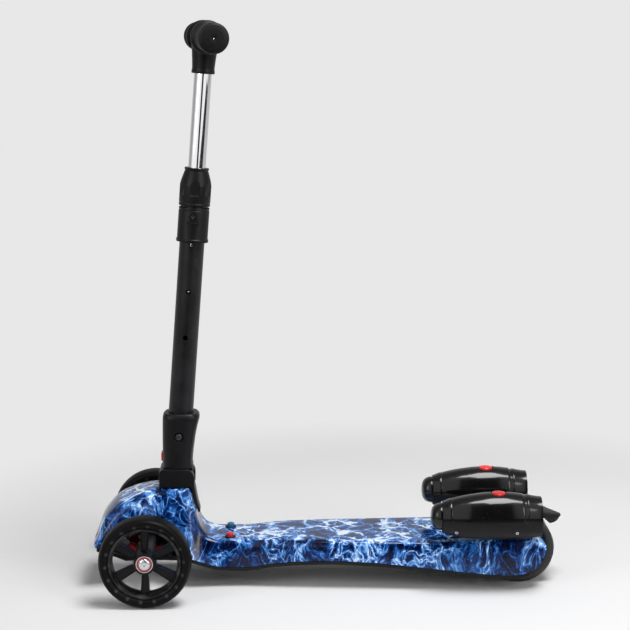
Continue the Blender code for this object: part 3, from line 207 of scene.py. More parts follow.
def sweep_finish():
    made, place = start_finish("sweep_board", {"Roughness": 0.9, "Specular IOR Level": 0.15})
    cloud = place.noise(1.5)
    pale = cloud.blend(SWEEP_TONE, [tone * 0.99 for tone in SWEEP_TONE])
    # Towards the camera the board is painted near black, as painted shade for the unlit front of the
    # studio, which the glossy parts reflect; the camera itself still sees the even pale tone there.
    before = (0.0 - place.axis("Y")).between(*APRON)
    feed(made, before.blend(pale, APRON_PAINTED_SHADE_TONE))
    tree = made.node_tree
    shader, out = tree.nodes["Principled BSDF"], tree.nodes["Material Output"]
    near = place.placed((0.95, 1.0, 0.0), (0.12, 0.15, 0.0))
    far = near.node("ShaderNodeVectorMath", {0: near}, pick=1, operation="LENGTH").between(0.42, 0.8)
    camera, glossy = (Flow(tree, ray) for ray in rays(tree))
    seen = far.maths("MAXIMUM", far, before) * camera + far * (1.0 - before) * glossy * 0.5
    glow = seen.node("ShaderNodeEmission", {"Color": (*BACK_TONE, 1.0)})
    mixed = seen.node("ShaderNodeMixShader", {0: seen, 1: Flow(tree, shader.outputs[0]), 2: glow})
    tree.links.new(mixed.socket, out.inputs["Surface"])
    return made


def make_sweep():
    """The board: flat under the scooter, bent up behind it in a quarter round, upright above."""
    bm = bmesh.new()
    run = [(SWEEP_NEAR, 0.0), (SWEEP_FOOT, 0.0)]
    for step in range(1, 13):
        turn = math.pi / 2 * step / 12
        run.append((SWEEP_FOOT + SWEEP_RISE * math.sin(turn), SWEEP_RISE * (1 - math.cos(turn))))
    run.append((SWEEP_FOOT + SWEEP_RISE, SWEEP_TOP))
    line = [bm.verts.new((-SWEEP_HALF, y, z)) for y, z in run]
    edges = [bm.edges.new(pair) for pair in zip(line, line[1:])]
    wide = bmesh.ops.extrude_edge_only(bm, edges=edges)
    far = [item for item in wide["geom"] if isinstance(item, bmesh.types.BMVert)]
    bmesh.ops.translate(bm, verts=far, vec=(2 * SWEEP_HALF, 0, 0))
    bmesh.ops.recalc_face_normals(bm, faces=bm.faces)
    mesh = bpy.data.meshes.new("sweep")
    bm.to_mesh(mesh)
    bm.free()
    mesh.shade_smooth()
    mesh.materials.append(sweep_finish())
    made = stand("sweep", mesh)


def soft_box(name, place, aim, wide, high, power):
    """A soft box that looks at a point."""
    light = bpy.data.lights.new(name, "AREA")
    light.shape = "RECTANGLE"
    light.size = wide
    light.size_y = high
    light.energy = power
    made = stand(name, light)
    made.location = place
    made.rotation_euler = (Vector(aim) - Vector(place)).to_track_quat("-Z", "Y").to_euler()


def make_sky():
    """Even light from all round, with the unlit end of the studio behind the camera."""
    world = bpy.data.worlds.new("studio")
    bpy.context.scene.world = world
    world.use_nodes = True
    tree = world.node_tree
    back = tree.nodes["Background"]
    toward = Flow(tree, tree.nodes.new("ShaderNodeTexCoord").outputs["Generated"])
    behind = (0.0 - toward.axis("Y")).between(0.15, 0.35)
    unlit = behind * (1.0 - abs(toward.axis("X") - 0.075).between(0.15, 0.23))
    camera, glossy = (Flow(tree, ray) for ray in rays(tree))
    ahead = (0.0 - toward.axis("Y")).between(0.0, 0.4).blend((0.34, 0.34, 0.345), (0.93, 0.93, 0.94))
    level = glossy.blend((0.21, 0.21, 0.213), ahead)
    seen = camera.blend(unlit.blend(level, (0.02, 0.02, 0.02)), BACK_TONE)
    tree.links.new(seen.socket, back.inputs["Color"])


def make_camera():
    data = bpy.data.cameras.new("eye")
    data.sensor_width = 36.0
    data.lens = LENS
    data.clip_start = 0.05
    made = stand("eye", data)
    right, up = Vector(EYE_RIGHT), Vector(EYE_UP)
    turn = Matrix((right, up, right.cross(up))).transposed().to_4x4()
    made.matrix_world = Matrix.Translation(EYE) @ turn
    bpy.context.scene.camera = made


make_camera()
make_sweep()
make_sky()
soft_box("box_left", (-1.75, -1.55, 1.15), (0.0, 0.0, 0.25), 0.75, 1.3, 10)
soft_box("box_right", (1.65, -1.75, 1.2), (0.0, 0.0, 0.25), 0.75, 1.3, 13)
soft_box("box_over", (0.46, -0.5, 2.15), (0.0, 0.0, 0.0), 0.9, 0.9, 37)
bpy.context.scene.view_settings.view_transform = "Standard"

# Deck shell: one blown ABS cover from the nose over the neck to the tail, 2.6 mm thick, with a marbled
# streak print under a clear gloss coat. It is open below, arched over the front axle and cut out for
# the rear wheels, and it drops over the black tray.

SHELL_WALL = 0.0026
SHELL_EDGE_R = ((-0.072, 0.017), (0.01, 0.015), (0.055, 0.011), (0.09, 0.008), (0.53, 0.008))
SHELL_DRAFT = 0.11
SHELL_ROWS = (
    (-0.0718, 0.0028, 0.047, 0.0485, 0.0618, 0.0592),
    (-0.0705, 0.003, 0.048, 0.05, 0.064, 0.057),
    (-0.067, 0.0035, 0.0505, 0.0525, 0.07, 0.057),
    (-0.06, 0.0058, 0.0515, 0.0545, 0.0845, 0.0565),
    (-0.055, 0.007, 0.0505, 0.0555, 0.0935, 0.056),
    (-0.04, 0.007, 0.048, 0.056, 0.1095, 0.055),
    (-0.021, 0.0045, 0.044, 0.056, 0.1205, 0.052),
    (-0.004, 0.002, 0.0375, 0.056, 0.127, 0.048),
    (0.012, 0.0, 0.03, 0.056, 0.1308, 0.045),
    (0.034, 0.0, 0.0285, 0.055, 0.131, 0.043),
    (0.0525, 0.0, 0.029, 0.054, 0.1308, 0.0415),
    (0.061, 0.0, 0.0305, 0.052, 0.101, 0.04),
    (0.068, 0.0, 0.0335, 0.0505, 0.08, 0.037),
    (0.078, 0.0, 0.0385, 0.049, 0.068, 0.0335),
    (0.094, 0.0, 0.041, 0.0465, 0.0635, 0.029),
    (0.125, 0.0, 0.0415, 0.045, 0.0632, 0.0275),
    (0.168, 0.0, 0.048, 0.05, 0.0655, 0.0345),
    (0.203, 0.0, 0.0525, 0.054, 0.066, 0.038),
    (0.24, 0.0, 0.056, 0.057, 0.066, 0.0395),
    (0.3, 0.0, 0.06, 0.0605, 0.066, 0.0375),
    (0.35, 0.0, 0.063, 0.0635, 0.066, 0.033),
    (0.39, 0.0, 0.0655, 0.066, 0.066, 0.029),
    (0.43, 0.0, 0.067, 0.068, 0.069, 0.025),
    (0.45, 0.0, 0.067, 0.068, 0.07, 0.0232),
    (0.485, 0.0, 0.0665, 0.0675, 0.07, 0.021),
    (0.505, 0.0, 0.0655, 0.066, 0.07, 0.0245),
    (0.517, 0.0, 0.064, 0.064, 0.069, 0.032),
    (0.524, 0.0, 0.062, 0.062, 0.065, 0.0415),
    (0.528, 0.0, 0.06, 0.06, 0.06, 0.052),
)
LOW_HALF, TOP, LOW = 3, 4, 5
ARCH_LINE = (
    (-0.064, 0.045),
    (-0.064, 0.052),
    (-0.058, 0.064),
    (-0.048, 0.078),
    (-0.034, 0.0875),
    (0.013, 0.0875),
    (0.024, 0.074),
    (0.03, 0.06),
    (0.058, 0.046),
    (0.058, 0.03),
)
WELL_X = 0.446
WELL_Y = 0.0365
PRINT_RAMP = (
    (0.1, (0.0002, 0.002, 0.02)),
    (0.26, (0.0008, 0.009, 0.065)),
    (0.42, (0.004, 0.048, 0.22)),
    (0.57, (0.03, 0.17, 0.56)),
    (0.76, (0.18, 0.44, 0.9)),
    (0.97, (0.82, 0.92, 1.0)),
)
PRINT_WHITE = (0.78, 0.88, 1.0)


def slope_at(rows, index, column):
    """Slope of a smooth curve at a row that never swings past the rows beside it."""
    if index in (0, len(rows) - 1):
        return 0.0
    (x0, y0), (x1, y1), (x2, y2) = ((row[0], row[column]) for row in rows[index - 1 : index + 2])
    first, second = (y1 - y0) / (x1 - x0), (y2 - y1) / (x2 - x1)
    return 0.0 if first * second <= 0 else 2 * first * second / (first + second)


def along(rows, x, column):
    """A column of a table at x, on a smooth curve through its rows."""
    x = min(max(x, rows[0][0]), rows[-1][0])
    index = max(i for i in range(len(rows) - 1) if rows[i][0] <= x)
    (x0, y0), (x1, y1) = ((row[0], row[column]) for row in rows[index : index + 2])
    wide = x1 - x0
    t = (x - x0) / wide
    rise = (3 - 2 * t) * t * t
    start, end = slope_at(rows, index, column), slope_at(rows, index + 1, column)
    return y0 * (1 - rise) + y1 * rise + wide * (start * t * (1 - t) ** 2 - end * t * t * (1 - t))


def across_row(rows, x):
    """Every column of a table at x."""
    return [along(rows, x, column) for column in range(1, len(rows[0]))]


def places(rows, step):
    """Every row's X with even steps between them."""
    made = []
    for first, second in zip(rows, rows[1:]):
        count = max(1, round((second[0] - first[0]) / step))
        made += [first[0] + (second[0] - first[0]) * i / count for i in range(count)]
    return [*made, rows[-1][0]]


def skinned(rings):
    """Bridges rings of points one after another, and shuts both ends."""
    bm = bmesh.new()
    loops = []
    for ring in rings:
        verts = [bm.verts.new(point) for point in ring]
        loops.append([bm.edges.new(pair) for pair in zip(verts, verts[1:] + verts[:1])])
    for first, second in zip(loops, loops[1:]):
        bmesh.ops.bridge_loops(bm, edges=first + second)
    for loop in (loops[0], loops[-1]):
        bmesh.ops.contextual_create(bm, geom=loop)
    return bm


def extruded(line, half):
    """A flat outline in X and Z, as thick along Y as twice its half."""
    return skinned([[(x, y, z) for x, z in line] for y in (-half, half)])


def solid(bm, name):
    """Turns a mesh counted from the front axle into an object in its place."""
    bmesh.ops.remove_doubles(bm, verts=bm.verts, dist=1e-6)
    bmesh.ops.recalc_face_normals(bm, faces=bm.faces)
    bmesh.ops.translate(bm, verts=bm.verts, vec=(AXLE_X, 0, 0))
    mesh = bpy.data.meshes.new(name)
    bm.to_mesh(mesh)
    bm.free()
    return stand(name, mesh)


def cut(made, bm, operation="DIFFERENCE"):
    """Cuts a piece with a second mesh, or joins the two, and keeps the result as its own mesh."""
    other = solid(bm, "cutter")
    step = made.modifiers.new("cut", "BOOLEAN")
    step.operation = operation
    step.object = other
    step.solver = "EXACT"
    ready = made.evaluated_get(bpy.context.evaluated_depsgraph_get())
    made.data = bpy.data.meshes.new_from_object(ready)
    made.modifiers.clear()
    bpy.data.objects.remove(other, do_unlink=True)


def soften(made, width, segments=2, angle=35):
    step = made.modifiers.new("edges", "BEVEL")
    step.width = width
    step.segments = segments
    step.limit_method = "ANGLE"
    step.angle_limit = math.radians(angle)
    step.harden_normals = False


def fit(made, finish, slot, body, *nodes, angle=38):
    """Gives a piece its finish and its body, and lets it stand for its CAD nodes."""
    made.data.materials.clear()
    made.data.materials.append(finish)
    made.data.shade_smooth()
    made.data.set_sharp_from_angle(angle=math.radians(angle))
    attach(made, body)
    for node in nodes:
        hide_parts(node)
    return made


def beside(side, near, far):
    """The lower and the upper Y of a thing that lies on one side."""
    return sorted((side * near, side * far))


def join_in(bm, own, place=None):
    """Adds a mesh of its own to another one, set in place."""
    if place:
        bmesh.ops.transform(own, matrix=place, verts=own.verts)
    mesh = bpy.data.meshes.new("joined")
    own.to_mesh(mesh)
    own.free()
    bm.from_mesh(mesh)
    bpy.data.meshes.remove(mesh)


def block(bm, low, high, round_off=0.0, place=None):
    """A box between two corners, its edges rounded off."""
    low, high = Vector(low), Vector(high)
    own = bmesh.new()
    size = Matrix.Translation((low + high) / 2) @ Matrix.Diagonal((*(high - low), 1.0))
    bmesh.ops.create_cube(own, size=1.0, matrix=size)
    if round_off:
        settings = {"segments": 3, "profile": 0.5, "affect": "EDGES", "material": -1}
        bmesh.ops.bevel(own, geom=own.edges[:], offset=round_off, **settings)
    join_in(bm, own, place)
    return bm


def shell_ring(x, inset=0.0, under=0.0):
    """One section of the shell: a round-cornered arch over a straight lower edge."""
    bow, top_half, low_half, top, low = across_row(SHELL_ROWS, x)
    top_half = min(top_half, low_half - SHELL_DRAFT * (top - low))
    top_half, low_half, top = top_half - inset, low_half - inset, top - inset
    radius = min(along(SHELL_EDGE_R, x, 1), (top - low) * 0.45)
    slope = (low_half - top_half) / max(top - low, 0.001)
    right = [((top_half - radius) * share, top) for share in (0.25, 0.5, 0.75)]
    for step in range(9):
        turn = math.pi / 2 * (1 - step / 8)
        up = top - radius + radius * math.sin(turn)
        right.append((top_half - radius + radius * math.cos(turn) + slope * (top - up), up))
    last, foot = right[-1], low - under
    for i in range(1, 5):
        right.append((last[0] + (low_half - last[0]) * i / 4, last[1] + (foot - last[1]) * i / 4))
    line = [(-y, z) for y, z in reversed(right)] + [(0.0, top)] + right
    return [(x - bow * (1 - min(1.0, abs(y / low_half)) ** 2), y, z) for y, z in line]


def print_finish():
    """Marbled streaks: navy clouds drawn out in height, azure and white veins, and on faces that look up
    a net pattern of the print, made paler there as a painted sheen of the top.
    """
    made, place = start_finish(
        "streak_print",
        {"IOR": 1.34, "Coat Weight": 0.22, "Coat Roughness": 0.05, "Coat IOR": 1.4},
    )
    drawn = place.placed((46.0, 46.0, 31.0))
    sway = drawn.noise(0.62, 2.0, pick=1).placed((1.0, 1.0, 1.0), (0.5, 0.5, 0.5))
    bent = drawn.swayed(sway, (2.1, 2.1, 2.6))
    cloud = bent.noise(0.5, 1.0, 0.5, 0.4).between(0.36, 0.64)
    flame = bent.noise(0.85, 1.0, 0.5, 0.7).ridge(7.0)
    apart = bent.placed((1.0, 1.0, 1.0), (7.0, 3.0, 5.0))
    other = apart.noise(0.66, 1.0, 0.5, 0.9).ridge(9.0)
    vein = bent.noise(1.6, 2.0, 0.55, 1.2).ridge(17.0)
    threads = bent.noise(3.6, 2.0, 0.6, 1.5).ridge(24.0)
    both = flame.maths("MAXIMUM", flame, other * 0.9)
    heat = both * (cloud * 0.3 + 0.42) + vein * (cloud * 0.26 + 0.18) + threads * 0.1 + cloud * 0.05
    # Faces that look up get the net pattern and a lift of tone: the net is part of the print, the lift is
    # painted sheen of the lit top.
    upward_net_painted_sheen = place.node("ShaderNodeNewGeometry", pick=1).axis("Z").between(0.8, 0.95)
    cells = drawn.swayed(sway, (1.3, 1.3, 1.3)).cells(0.8, "DISTANCE_TO_EDGE")
    net = 1.0 - cells.between(0.02, 0.13)
    heat = heat + upward_net_painted_sheen * (net * (cloud * 0.2 + 0.3) + 0.05)
    colour = heat.node("ShaderNodeValToRGB", {0: heat}, stops=PRINT_RAMP)
    dots = place.noise(900.0, 1.0)
    grain = (dots.between(0.62, 0.75) * 0.05).blend(colour, PRINT_WHITE)
    haze = place.noise(60.0, 3.0)
    scuff = place.placed((1.0, 14.0, 10.0)).noise(140.0, 2.0, 0.7).between(0.66, 0.78)
    rough = haze * 0.05 + scuff * 0.1 + 0.1
    height = place.noise(150.0, 2.0) * 0.8 + place.noise(700.0, 1.0) * 0.12 - scuff * 0.05
    printed = place.node("ShaderNodeAttribute", pick=2, attribute_name="printed")
    both_sides = printed.blend((0.004, 0.005, 0.009), grain)
    return feed(made, both_sides, rough, height, 0.00025, 0.35)


def mark_printed(made):
    """Marks the faces of the shell that look outwards, since the print lies on these alone."""
    flags = made.data.attributes.new("printed", "FLOAT", "FACE")
    for face, flag in zip(made.data.polygons, flags.data):
        heart = Vector((min(max(face.center.x, AXLE_X), AXLE_X + 0.5), 0, 0.03))
        flag.value = float(face.normal.dot(face.center - heart) > 0)


outside = [shell_ring(x) for x in places(SHELL_ROWS, 0.0035)]
shell = solid(skinned(outside), "printed_shell")
inner_places = [x for x in places(SHELL_ROWS, 0.006) if -0.068 < x < 0.525]
cut(shell, skinned([shell_ring(x, SHELL_WALL, 0.004) for x in inner_places]))
arch = extruded(ARCH_LINE, 0.1)
arch_edges = [edge for edge in arch.edges if abs(edge.verts[0].co.y - edge.verts[1].co.y) > 0.1]
bmesh.ops.bevel(arch, geom=arch_edges, offset=0.004, segments=4, profile=0.5, affect="EDGES", material=-1)
cut(shell, arch)
cut(shell, block(bmesh.new(), (WELL_X, -WELL_Y, -0.05), (0.62, WELL_Y, 0.15), 0.004))
mark_printed(shell)
STREAKS = print_finish()
fit(shell, STREAKS, "blue_print", "chassis", "deck_shell")

# Deck buttons: two soft-touch caps on the deck by the neck, teal for the mist and red for the lights.
# Each slides in a low moulded collar, and its flange holds it under the shell.

BUTTON_X = 0.1075
BUTTON_Y = 0.023
BUTTON_R = 0.0048
BUTTON_TOP = 0.0692
COLLAR_R = 0.0078


def spun(bm, profile, place, steps, round_off=0.0):
    """Spins a profile of radii and heights about Z, its corners rounded off, and sets it in place."""
    own = bmesh.new()
    line = [own.verts.new((radius, 0.0, height)) for radius, height in profile]
    for pair in zip(line, line[1:]):
        own.edges.new(pair)
    ring = profile[0][0] > 0 and profile[-1][0] > 0
    if ring:
        own.edges.new((line[-1], line[0]))
    if round_off:
        corners = line if ring else line[1:-1]
        settings = {"segments": 3, "profile": 0.5, "affect": "VERTICES", "material": -1}
        bmesh.ops.bevel(own, geom=corners, offset=round_off, clamp_overlap=True, **settings)
    settings = {"cent": (0, 0, 0), "axis": (0, 0, 1), "angle": 2 * math.pi, "use_merge": True}
    bmesh.ops.spin(own, geom=own.verts[:] + own.edges[:], steps=steps, **settings)
    join_in(bm, own, place)
    return bm


def turned(name, profile, place, steps, round_off=0.0):
    """A piece that is a single spun profile."""
    return solid(spun(bmesh.new(), profile, place, steps, round_off), name)


def rod(radius, top, foot):
    """The profile of a plain round bar or bore."""
    return [(0, top), (radius, top), (radius, foot), (0, foot)]


def pipe(outer, inner, top, foot):
    return [(outer, top), (outer, foot), (inner, foot), (inner, top)]


def mirror(profile):
    """The other half of a profile, back from its middle."""
    return [(radius, -height) for radius, height in reversed(profile)]


def arc(x, z, radius, end, count):
    """Points round a centre from angle 0 to the end."""
    turns = [end * i / count for i in range(count + 1)]
    return [(x + radius * math.cos(turn), z + radius * math.sin(turn)) for turn in turns]


def moulded(name, colour, rough, grain=0.3, pale=(0.16, 0.16, 0.17), **constants):
    """Moulded plastic: cloudy in tone, finely grained, with hair scratches and a little dust."""
    fixed = {key.replace("_", " "): value for key, value in constants.items()}
    made, place = start_finish(name, {"IOR": 1.31, **fixed})
    cloud = place.noise(42.0, 4.0, 0.6)
    fine = place.noise(260.0, 2.0)
    flow = place.placed((1.0, 1.0, 0.25)).noise(95.0, 2.0, 0.5, 0.8)
    scratch = place.placed((30.0, 420.0, 260.0)).noise(1.0, 2.0, 0.6).between(0.7, 0.78)
    dust = place.noise(620.0, 1.0).between(0.7, 0.8)
    light = [min(1.0, tone * 1.5 + 0.001) for tone in colour]
    tone = cloud.between(0.25, 0.75).blend([part * 0.8 for part in colour], light)
    worn = (scratch * 0.2 + dust * 0.12).blend(tone, pale)
    level = cloud * 0.12 + fine * 0.05 + scratch * 0.1 + (rough - 0.09)
    height = place.noise(1500.0, 1.0) * grain + flow * 0.25 + fine * 0.1 - scratch * 0.15
    return feed(made, worn, level, height, 0.0002, 0.5)


RED_PLASTIC = moulded("red_caps", (0.72, 0.018, 0.02), 0.26, 0.1, (0.9, 0.3, 0.3), Coat_Weight=0.3)
TEAL_PLASTIC = moulded("teal_cap", (0.01, 0.15, 0.33), 0.28, 0.1, (0.2, 0.5, 0.7), Coat_Weight=0.3)
BLACK_SATIN = moulded("satin_black", (0.0045, 0.0042, 0.0052), 0.4, 0.45, (0.1, 0.1, 0.11))
collars = bmesh.new()
for side, word, slot_name, finish in (
    (-1, "light", "red_plastic", RED_PLASTIC),
    (1, "steam", "teal_plastic", TEAL_PLASTIC),
):
    deck_z = along(SHELL_ROWS, BUTTON_X, TOP)
    middle = Matrix.Translation((BUTTON_X, side * BUTTON_Y, 0))
    collar = [
        (BUTTON_R + 0.0006, deck_z - 0.001),
        (COLLAR_R, deck_z - 0.001),
        (COLLAR_R - 0.0003, deck_z + 0.001),
        (COLLAR_R - 0.0012, deck_z + 0.0015),
        (BUTTON_R + 0.0006, deck_z + 0.0012),
    ]
    spun(collars, collar, middle, 48, 0.0002)
    profile = [
        (0, BUTTON_TOP - 0.0007),
        (BUTTON_R * 0.45, BUTTON_TOP - 0.0004),
        (BUTTON_R * 0.72, BUTTON_TOP),
        (BUTTON_R * 0.93, BUTTON_TOP - 0.0005),
        (BUTTON_R, BUTTON_TOP - 0.0016),
        (BUTTON_R, deck_z - 0.0035),
        (BUTTON_R + 0.0027, deck_z - 0.0035),
        (BUTTON_R + 0.0027, deck_z - 0.005),
        (0, deck_z - 0.005),
    ]
    cap = turned(f"{word}_cap", profile, middle, 48, 0.0002)
    fit(cap, finish, slot_name, f"{word}_key", f"{word}_button")
fit(solid(collars, "button_collars"), BLACK_SATIN, "black_plastic", "chassis")

# Nose light: a thin dark red lens across the front of the nose, moulded in one piece with fine ribs.
# It follows the bow of the shell, in which it is bedded.

LIGHT_Y = 0.026
LIGHT_T = 0.0013
LIGHT_BOW = 1.5
LIGHT_EASE = 0.85
LIGHT_LINE = ((-0.0743, 0.0595), (-0.0738, 0.0645), (-0.0712, 0.07), (-0.069, 0.0765))


def lens_finish():
    made, place = start_finish(
        "red_lens",
        {"IOR": 1.49, "Coat Weight": 0.8, "Coat Roughness": 0.04},
    )
    ribs = abs((place.axis("Y") * 900.0).sine())
    cloud = place.noise(120.0, 3.0)
    colour = (ribs * 0.6 + cloud * 0.4).blend((0.16, 0.004, 0.01), (0.52, 0.02, 0.03))
    return feed(made, colour, cloud * 0.1 + 0.12, ribs, 0.0002, 0.4)


rings = []
for step in range(25):
    share = 2 * step / 24 - 1
    y = LIGHT_Y * share
    ease = max(0.0, abs(share) - LIGHT_EASE) / (1 - LIGHT_EASE)
    low_z = LIGHT_LINE[0][1] + 0.004 * ease * ease
    high_z = LIGHT_LINE[-1][1] - 0.004 * ease * ease
    ring = []
    for i in range(9):
        z = low_z + (high_z - low_z) * i / 8
        x = along([(z_, x_) for x_, z_ in LIGHT_LINE], z, 1) + 0.0003 * abs(i / 4 - 1) ** 4
        ring.append((x + LIGHT_BOW * y * y, y, z))
    ring += [(x + LIGHT_T, y_, z) for x, y_, z in reversed(ring)]
    rings.append(ring)
light_lens = solid(skinned(rings), "nose_lens")
soften(light_lens, 0.0003)
fit(light_lens, lens_finish(), "red_plastic", "chassis", "nose_light")

# Tray: the moulded black floor that closes the shell from below, with ribs and screw bosses under it.
# It carries the rear axle in two blocks, and the battery door lies flush in its underside.

TRAY_T = 0.006
TRAY_CHAMFER = 0.0025
SEAM = 0.0006
TRAY_X = (0.058, 0.505)
TRAY_FRONT = (
    (-0.069, 0.003, 0.0475, 0.0563, 0.0503),
    (-0.05, 0.002, 0.042, 0.048, 0.043),
    (-0.032, 0.0, 0.034, 0.04, 0.033),
    (0.0, 0.0, 0.03, 0.04, 0.033),
    (0.04, 0.0, 0.034, 0.04, 0.033),
)
REAR_AXLE_X = 0.497
REAR_WHEEL_R = 0.047
SCREW_XS = (0.11, 0.19, 0.315, 0.405)
STEEL_RINGS = 5400.0


def tray_row(x):
    low = along(SHELL_ROWS, x, LOW)
    return (x, 0.0, along(SHELL_ROWS, x, LOW_HALF), low - SEAM, low - TRAY_T)


def screw_places():
    """Where the tray's screws sit in its underside, along both edges."""
    for side in (-1, 1):
        for x in SCREW_XS:
            y = side * (along(SHELL_ROWS, x, LOW_HALF) - 0.012)
            yield Matrix.Translation((x, y, along(SHELL_ROWS, x, LOW) - TRAY_T))


TRAY_PLACES = [x for x in places(SHELL_ROWS, 0.006) if TRAY_X[0] < x <= TRAY_X[1] + 0.0001]
TRAY_ROWS = [*TRAY_FRONT, *(tray_row(x) for x in TRAY_PLACES)]


def tray_ring(x, bow, half, top, bottom):
    right = [(half * 0.5, bottom)]
    for step in range(5):
        turn = math.pi / 2 * step / 4
        across = half - TRAY_CHAMFER * (1 - math.sin(turn))
        right.append((across, bottom + TRAY_CHAMFER * (1 - math.cos(turn))))
    right.append((half, top))
    line = [(-y, z) for y, z in reversed(right)] + [(0.0, bottom)] + right
    return [(x - bow * (1 - (y / half) ** 2), y, z) for y, z in line]


tray = solid(skinned([tray_ring(*row) for row in TRAY_ROWS]), "floor_tray")
tray_well = bmesh.new()
block(tray_well, (0.444, -WELL_Y - 0.001, -0.05), (0.62, WELL_Y + 0.001, 0.15), 0.004)
block(tray_well, (-0.003, -0.014, 0.02), (0.025, 0.014, 0.05), 0.002)
block(tray_well, (0.2047, -0.0343, 0.0), (0.2923, 0.0343, 0.0352), 0.002)
cut(tray, tray_well)
blocks = bmesh.new()
for side in (-1, 1):
    near, far = beside(side, 0.039, 0.06)
    block(blocks, (REAR_AXLE_X - 0.012, near, 0.021), (REAR_AXLE_X + 0.012, far, 0.058), 0.0015)
for place in screw_places():
    boss = [(0.0042, 0.002), (0.0042, -0.0011), (0.003, -0.0011), (0.0026, 0.0004), (0, 0.0004)]
    spun(blocks, boss, place, 32)
fit(tray, BLACK_SATIN, "black_plastic", "chassis", "deck_tray")
fit(solid(blocks, "tray_blocks"), BLACK_SATIN, "black_plastic", "chassis", angle=30)


def spun_steel(name, colour=(0.6, 0.61, 0.63), rough=0.26, centre=(0.0, 0.0)):
    """Turned or rolled steel: fine rings about its own centre, blotches and a few dull spots."""
    made, place = start_finish(name, {"Metallic": 1.0})
    cloud = place.noise(90.0, 4.0)
    x, z = place.axis("X") - centre[0], place.axis("Z") - centre[1]
    lines = (distance(x, z) * STEEL_RINGS).sine() * 0.5 + 0.5
    spots = place.noise(420.0, 2.0).between(0.62, 0.72)
    colour_now = (cloud * 0.5 + lines * 0.25).blend([tone * 0.72 for tone in colour], colour)
    dull = (spots * 0.3).blend(colour_now, (0.12, 0.11, 0.1))
    level = cloud * 0.16 + spots * 0.2 + (rough - 0.07)
    return feed(made, dull, level, lines * 0.4 + cloud * 0.4, 0.00008, 0.4)


STEEL = spun_steel("turned_steel", centre=(AXLE_X, 0.06))
screws = bmesh.new()
for place in screw_places():
    head = [(0, 0.0002), (0.0007, 0.0002), (0.0011, -0.0007), (0.0021, -0.0006), (0.0025, 0.0002)]
    spun(screws, [*head, (0.0025, 0.0012), (0, 0.0012)], place, 24)
fit(solid(screws, "tray_screws"), STEEL, "steel", "chassis")

# Truck: a powder-coated cast beam that leans on a slanted kingpin between two red rubber cushions a
# side. The head casting holds the kingpin under the neck and is bolted to the tray.

BLACK_COAT_TONE = (0.0075, 0.0075, 0.0085)


def coated(name, colour, rough, fleck=0.35):
    """Powder coat on metal: orange peel, a few specks and pale scratches drawn out along Z."""
    made, place = start_finish(name, {"IOR": 1.35, "Coat Weight": 0.08, "Coat Roughness": 0.22})
    cloud = place.noise(35.0, 3.0)
    peel = place.noise(760.0, 2.0, 0.6)
    speck = place.noise(1300.0, 1.0).between(0.68, 0.78)
    scratch = place.placed((300.0, 300.0, 22.0)).noise(1.0, 2.0, 0.6).between(0.71, 0.78)
    light = [part * 1.6 + 0.002 for part in colour]
    tone = cloud.between(0.3, 0.7).blend([part * 0.8 for part in colour], light)
    worn = (speck * fleck * 0.3 + scratch * 0.14).blend(tone, (0.2, 0.2, 0.21))
    level = cloud * 0.14 + peel * 0.08 + scratch * 0.1 + (rough - 0.11)
    return feed(made, worn, level, peel * 0.8 + cloud * 0.3, 0.00015, 0.45)


def copied(node, name, width, segments=2):
    """A fine copy of a plain CAD piece: its loose facets merged, flat faces whole, edges rounded."""
    bm = bmesh.new()
    bm.from_mesh(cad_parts[node].data)
    bmesh.ops.remove_doubles(bm, verts=bm.verts, dist=0.00002)
    bmesh.ops.dissolve_limit(bm, angle_limit=math.radians(2), verts=bm.verts, edges=bm.edges)
    mesh = bpy.data.meshes.new(name)
    bm.to_mesh(mesh)
    bm.free()
    made = stand(name, mesh)
    soften(made, width, segments, 40)
    return made


BLACK_COAT = coated("black_coat", BLACK_COAT_TONE, 0.36)
CAST_COAT = coated("cast_coat", (0.009, 0.009, 0.01), 0.5, 0.6)
# The cushions' red is darkened well below the rubber's own tone, as painted shade for the dark inside of
# the wheel arch.
RED_RUBBER_PAINTED_SHADE = moulded("red_cushion_painted_shade", (0.2, 0.007, 0.01), 0.48, 0.5, (0.5, 0.12, 0.12))
fit(copied("head_casting", "neck_casting", 0.0006), CAST_COAT, "black_paint", "chassis", "head_casting")
fit(copied("axle_beam", "lean_beam", 0.0005), CAST_COAT, "black_paint", "truck", "axle_beam")
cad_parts["kingpin"].data.materials.clear()
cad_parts["kingpin"].data.materials.append(spun_steel("blued_steel", (0.05, 0.05, 0.056), 0.34))
CUSHION_HALF = 0.007
CUSHION_Y = 0.022
CUSHION_Z = 0.0473
for side, word in ((-1, "left"), (1, "right")):
    for end, x in (("front", -0.0243), ("rear", 0.0148)):
        waist = [(0, CUSHION_HALF), (0.0062, CUSHION_HALF), (0.007, CUSHION_HALF - 0.0009)]
        waist += [(0.007, 0.003), (0.0058, 0.0012)]
        lie = Matrix.Translation((x, side * CUSHION_Y, CUSHION_Z)) @ Matrix.Rotation(math.pi / 2, 4, "X")
        made = turned(f"{end}_cushion_{word}", [*waist, *mirror(waist)], lie, 40, 0.0003)
        fit(made, RED_RUBBER_PAINTED_SHADE, "red_rubber", "chassis", f"cushion_{end}_{word}")

# Front wheels: a smoky urethane tyre cast round a six-spoke nylon hub, 120 mm across. A ring of small
# raised bumps on each flank carries pale dots, which are painted highlights. Sealed bearings with a red
# shield sit in the boss, and a domed bolt screws into the beam.

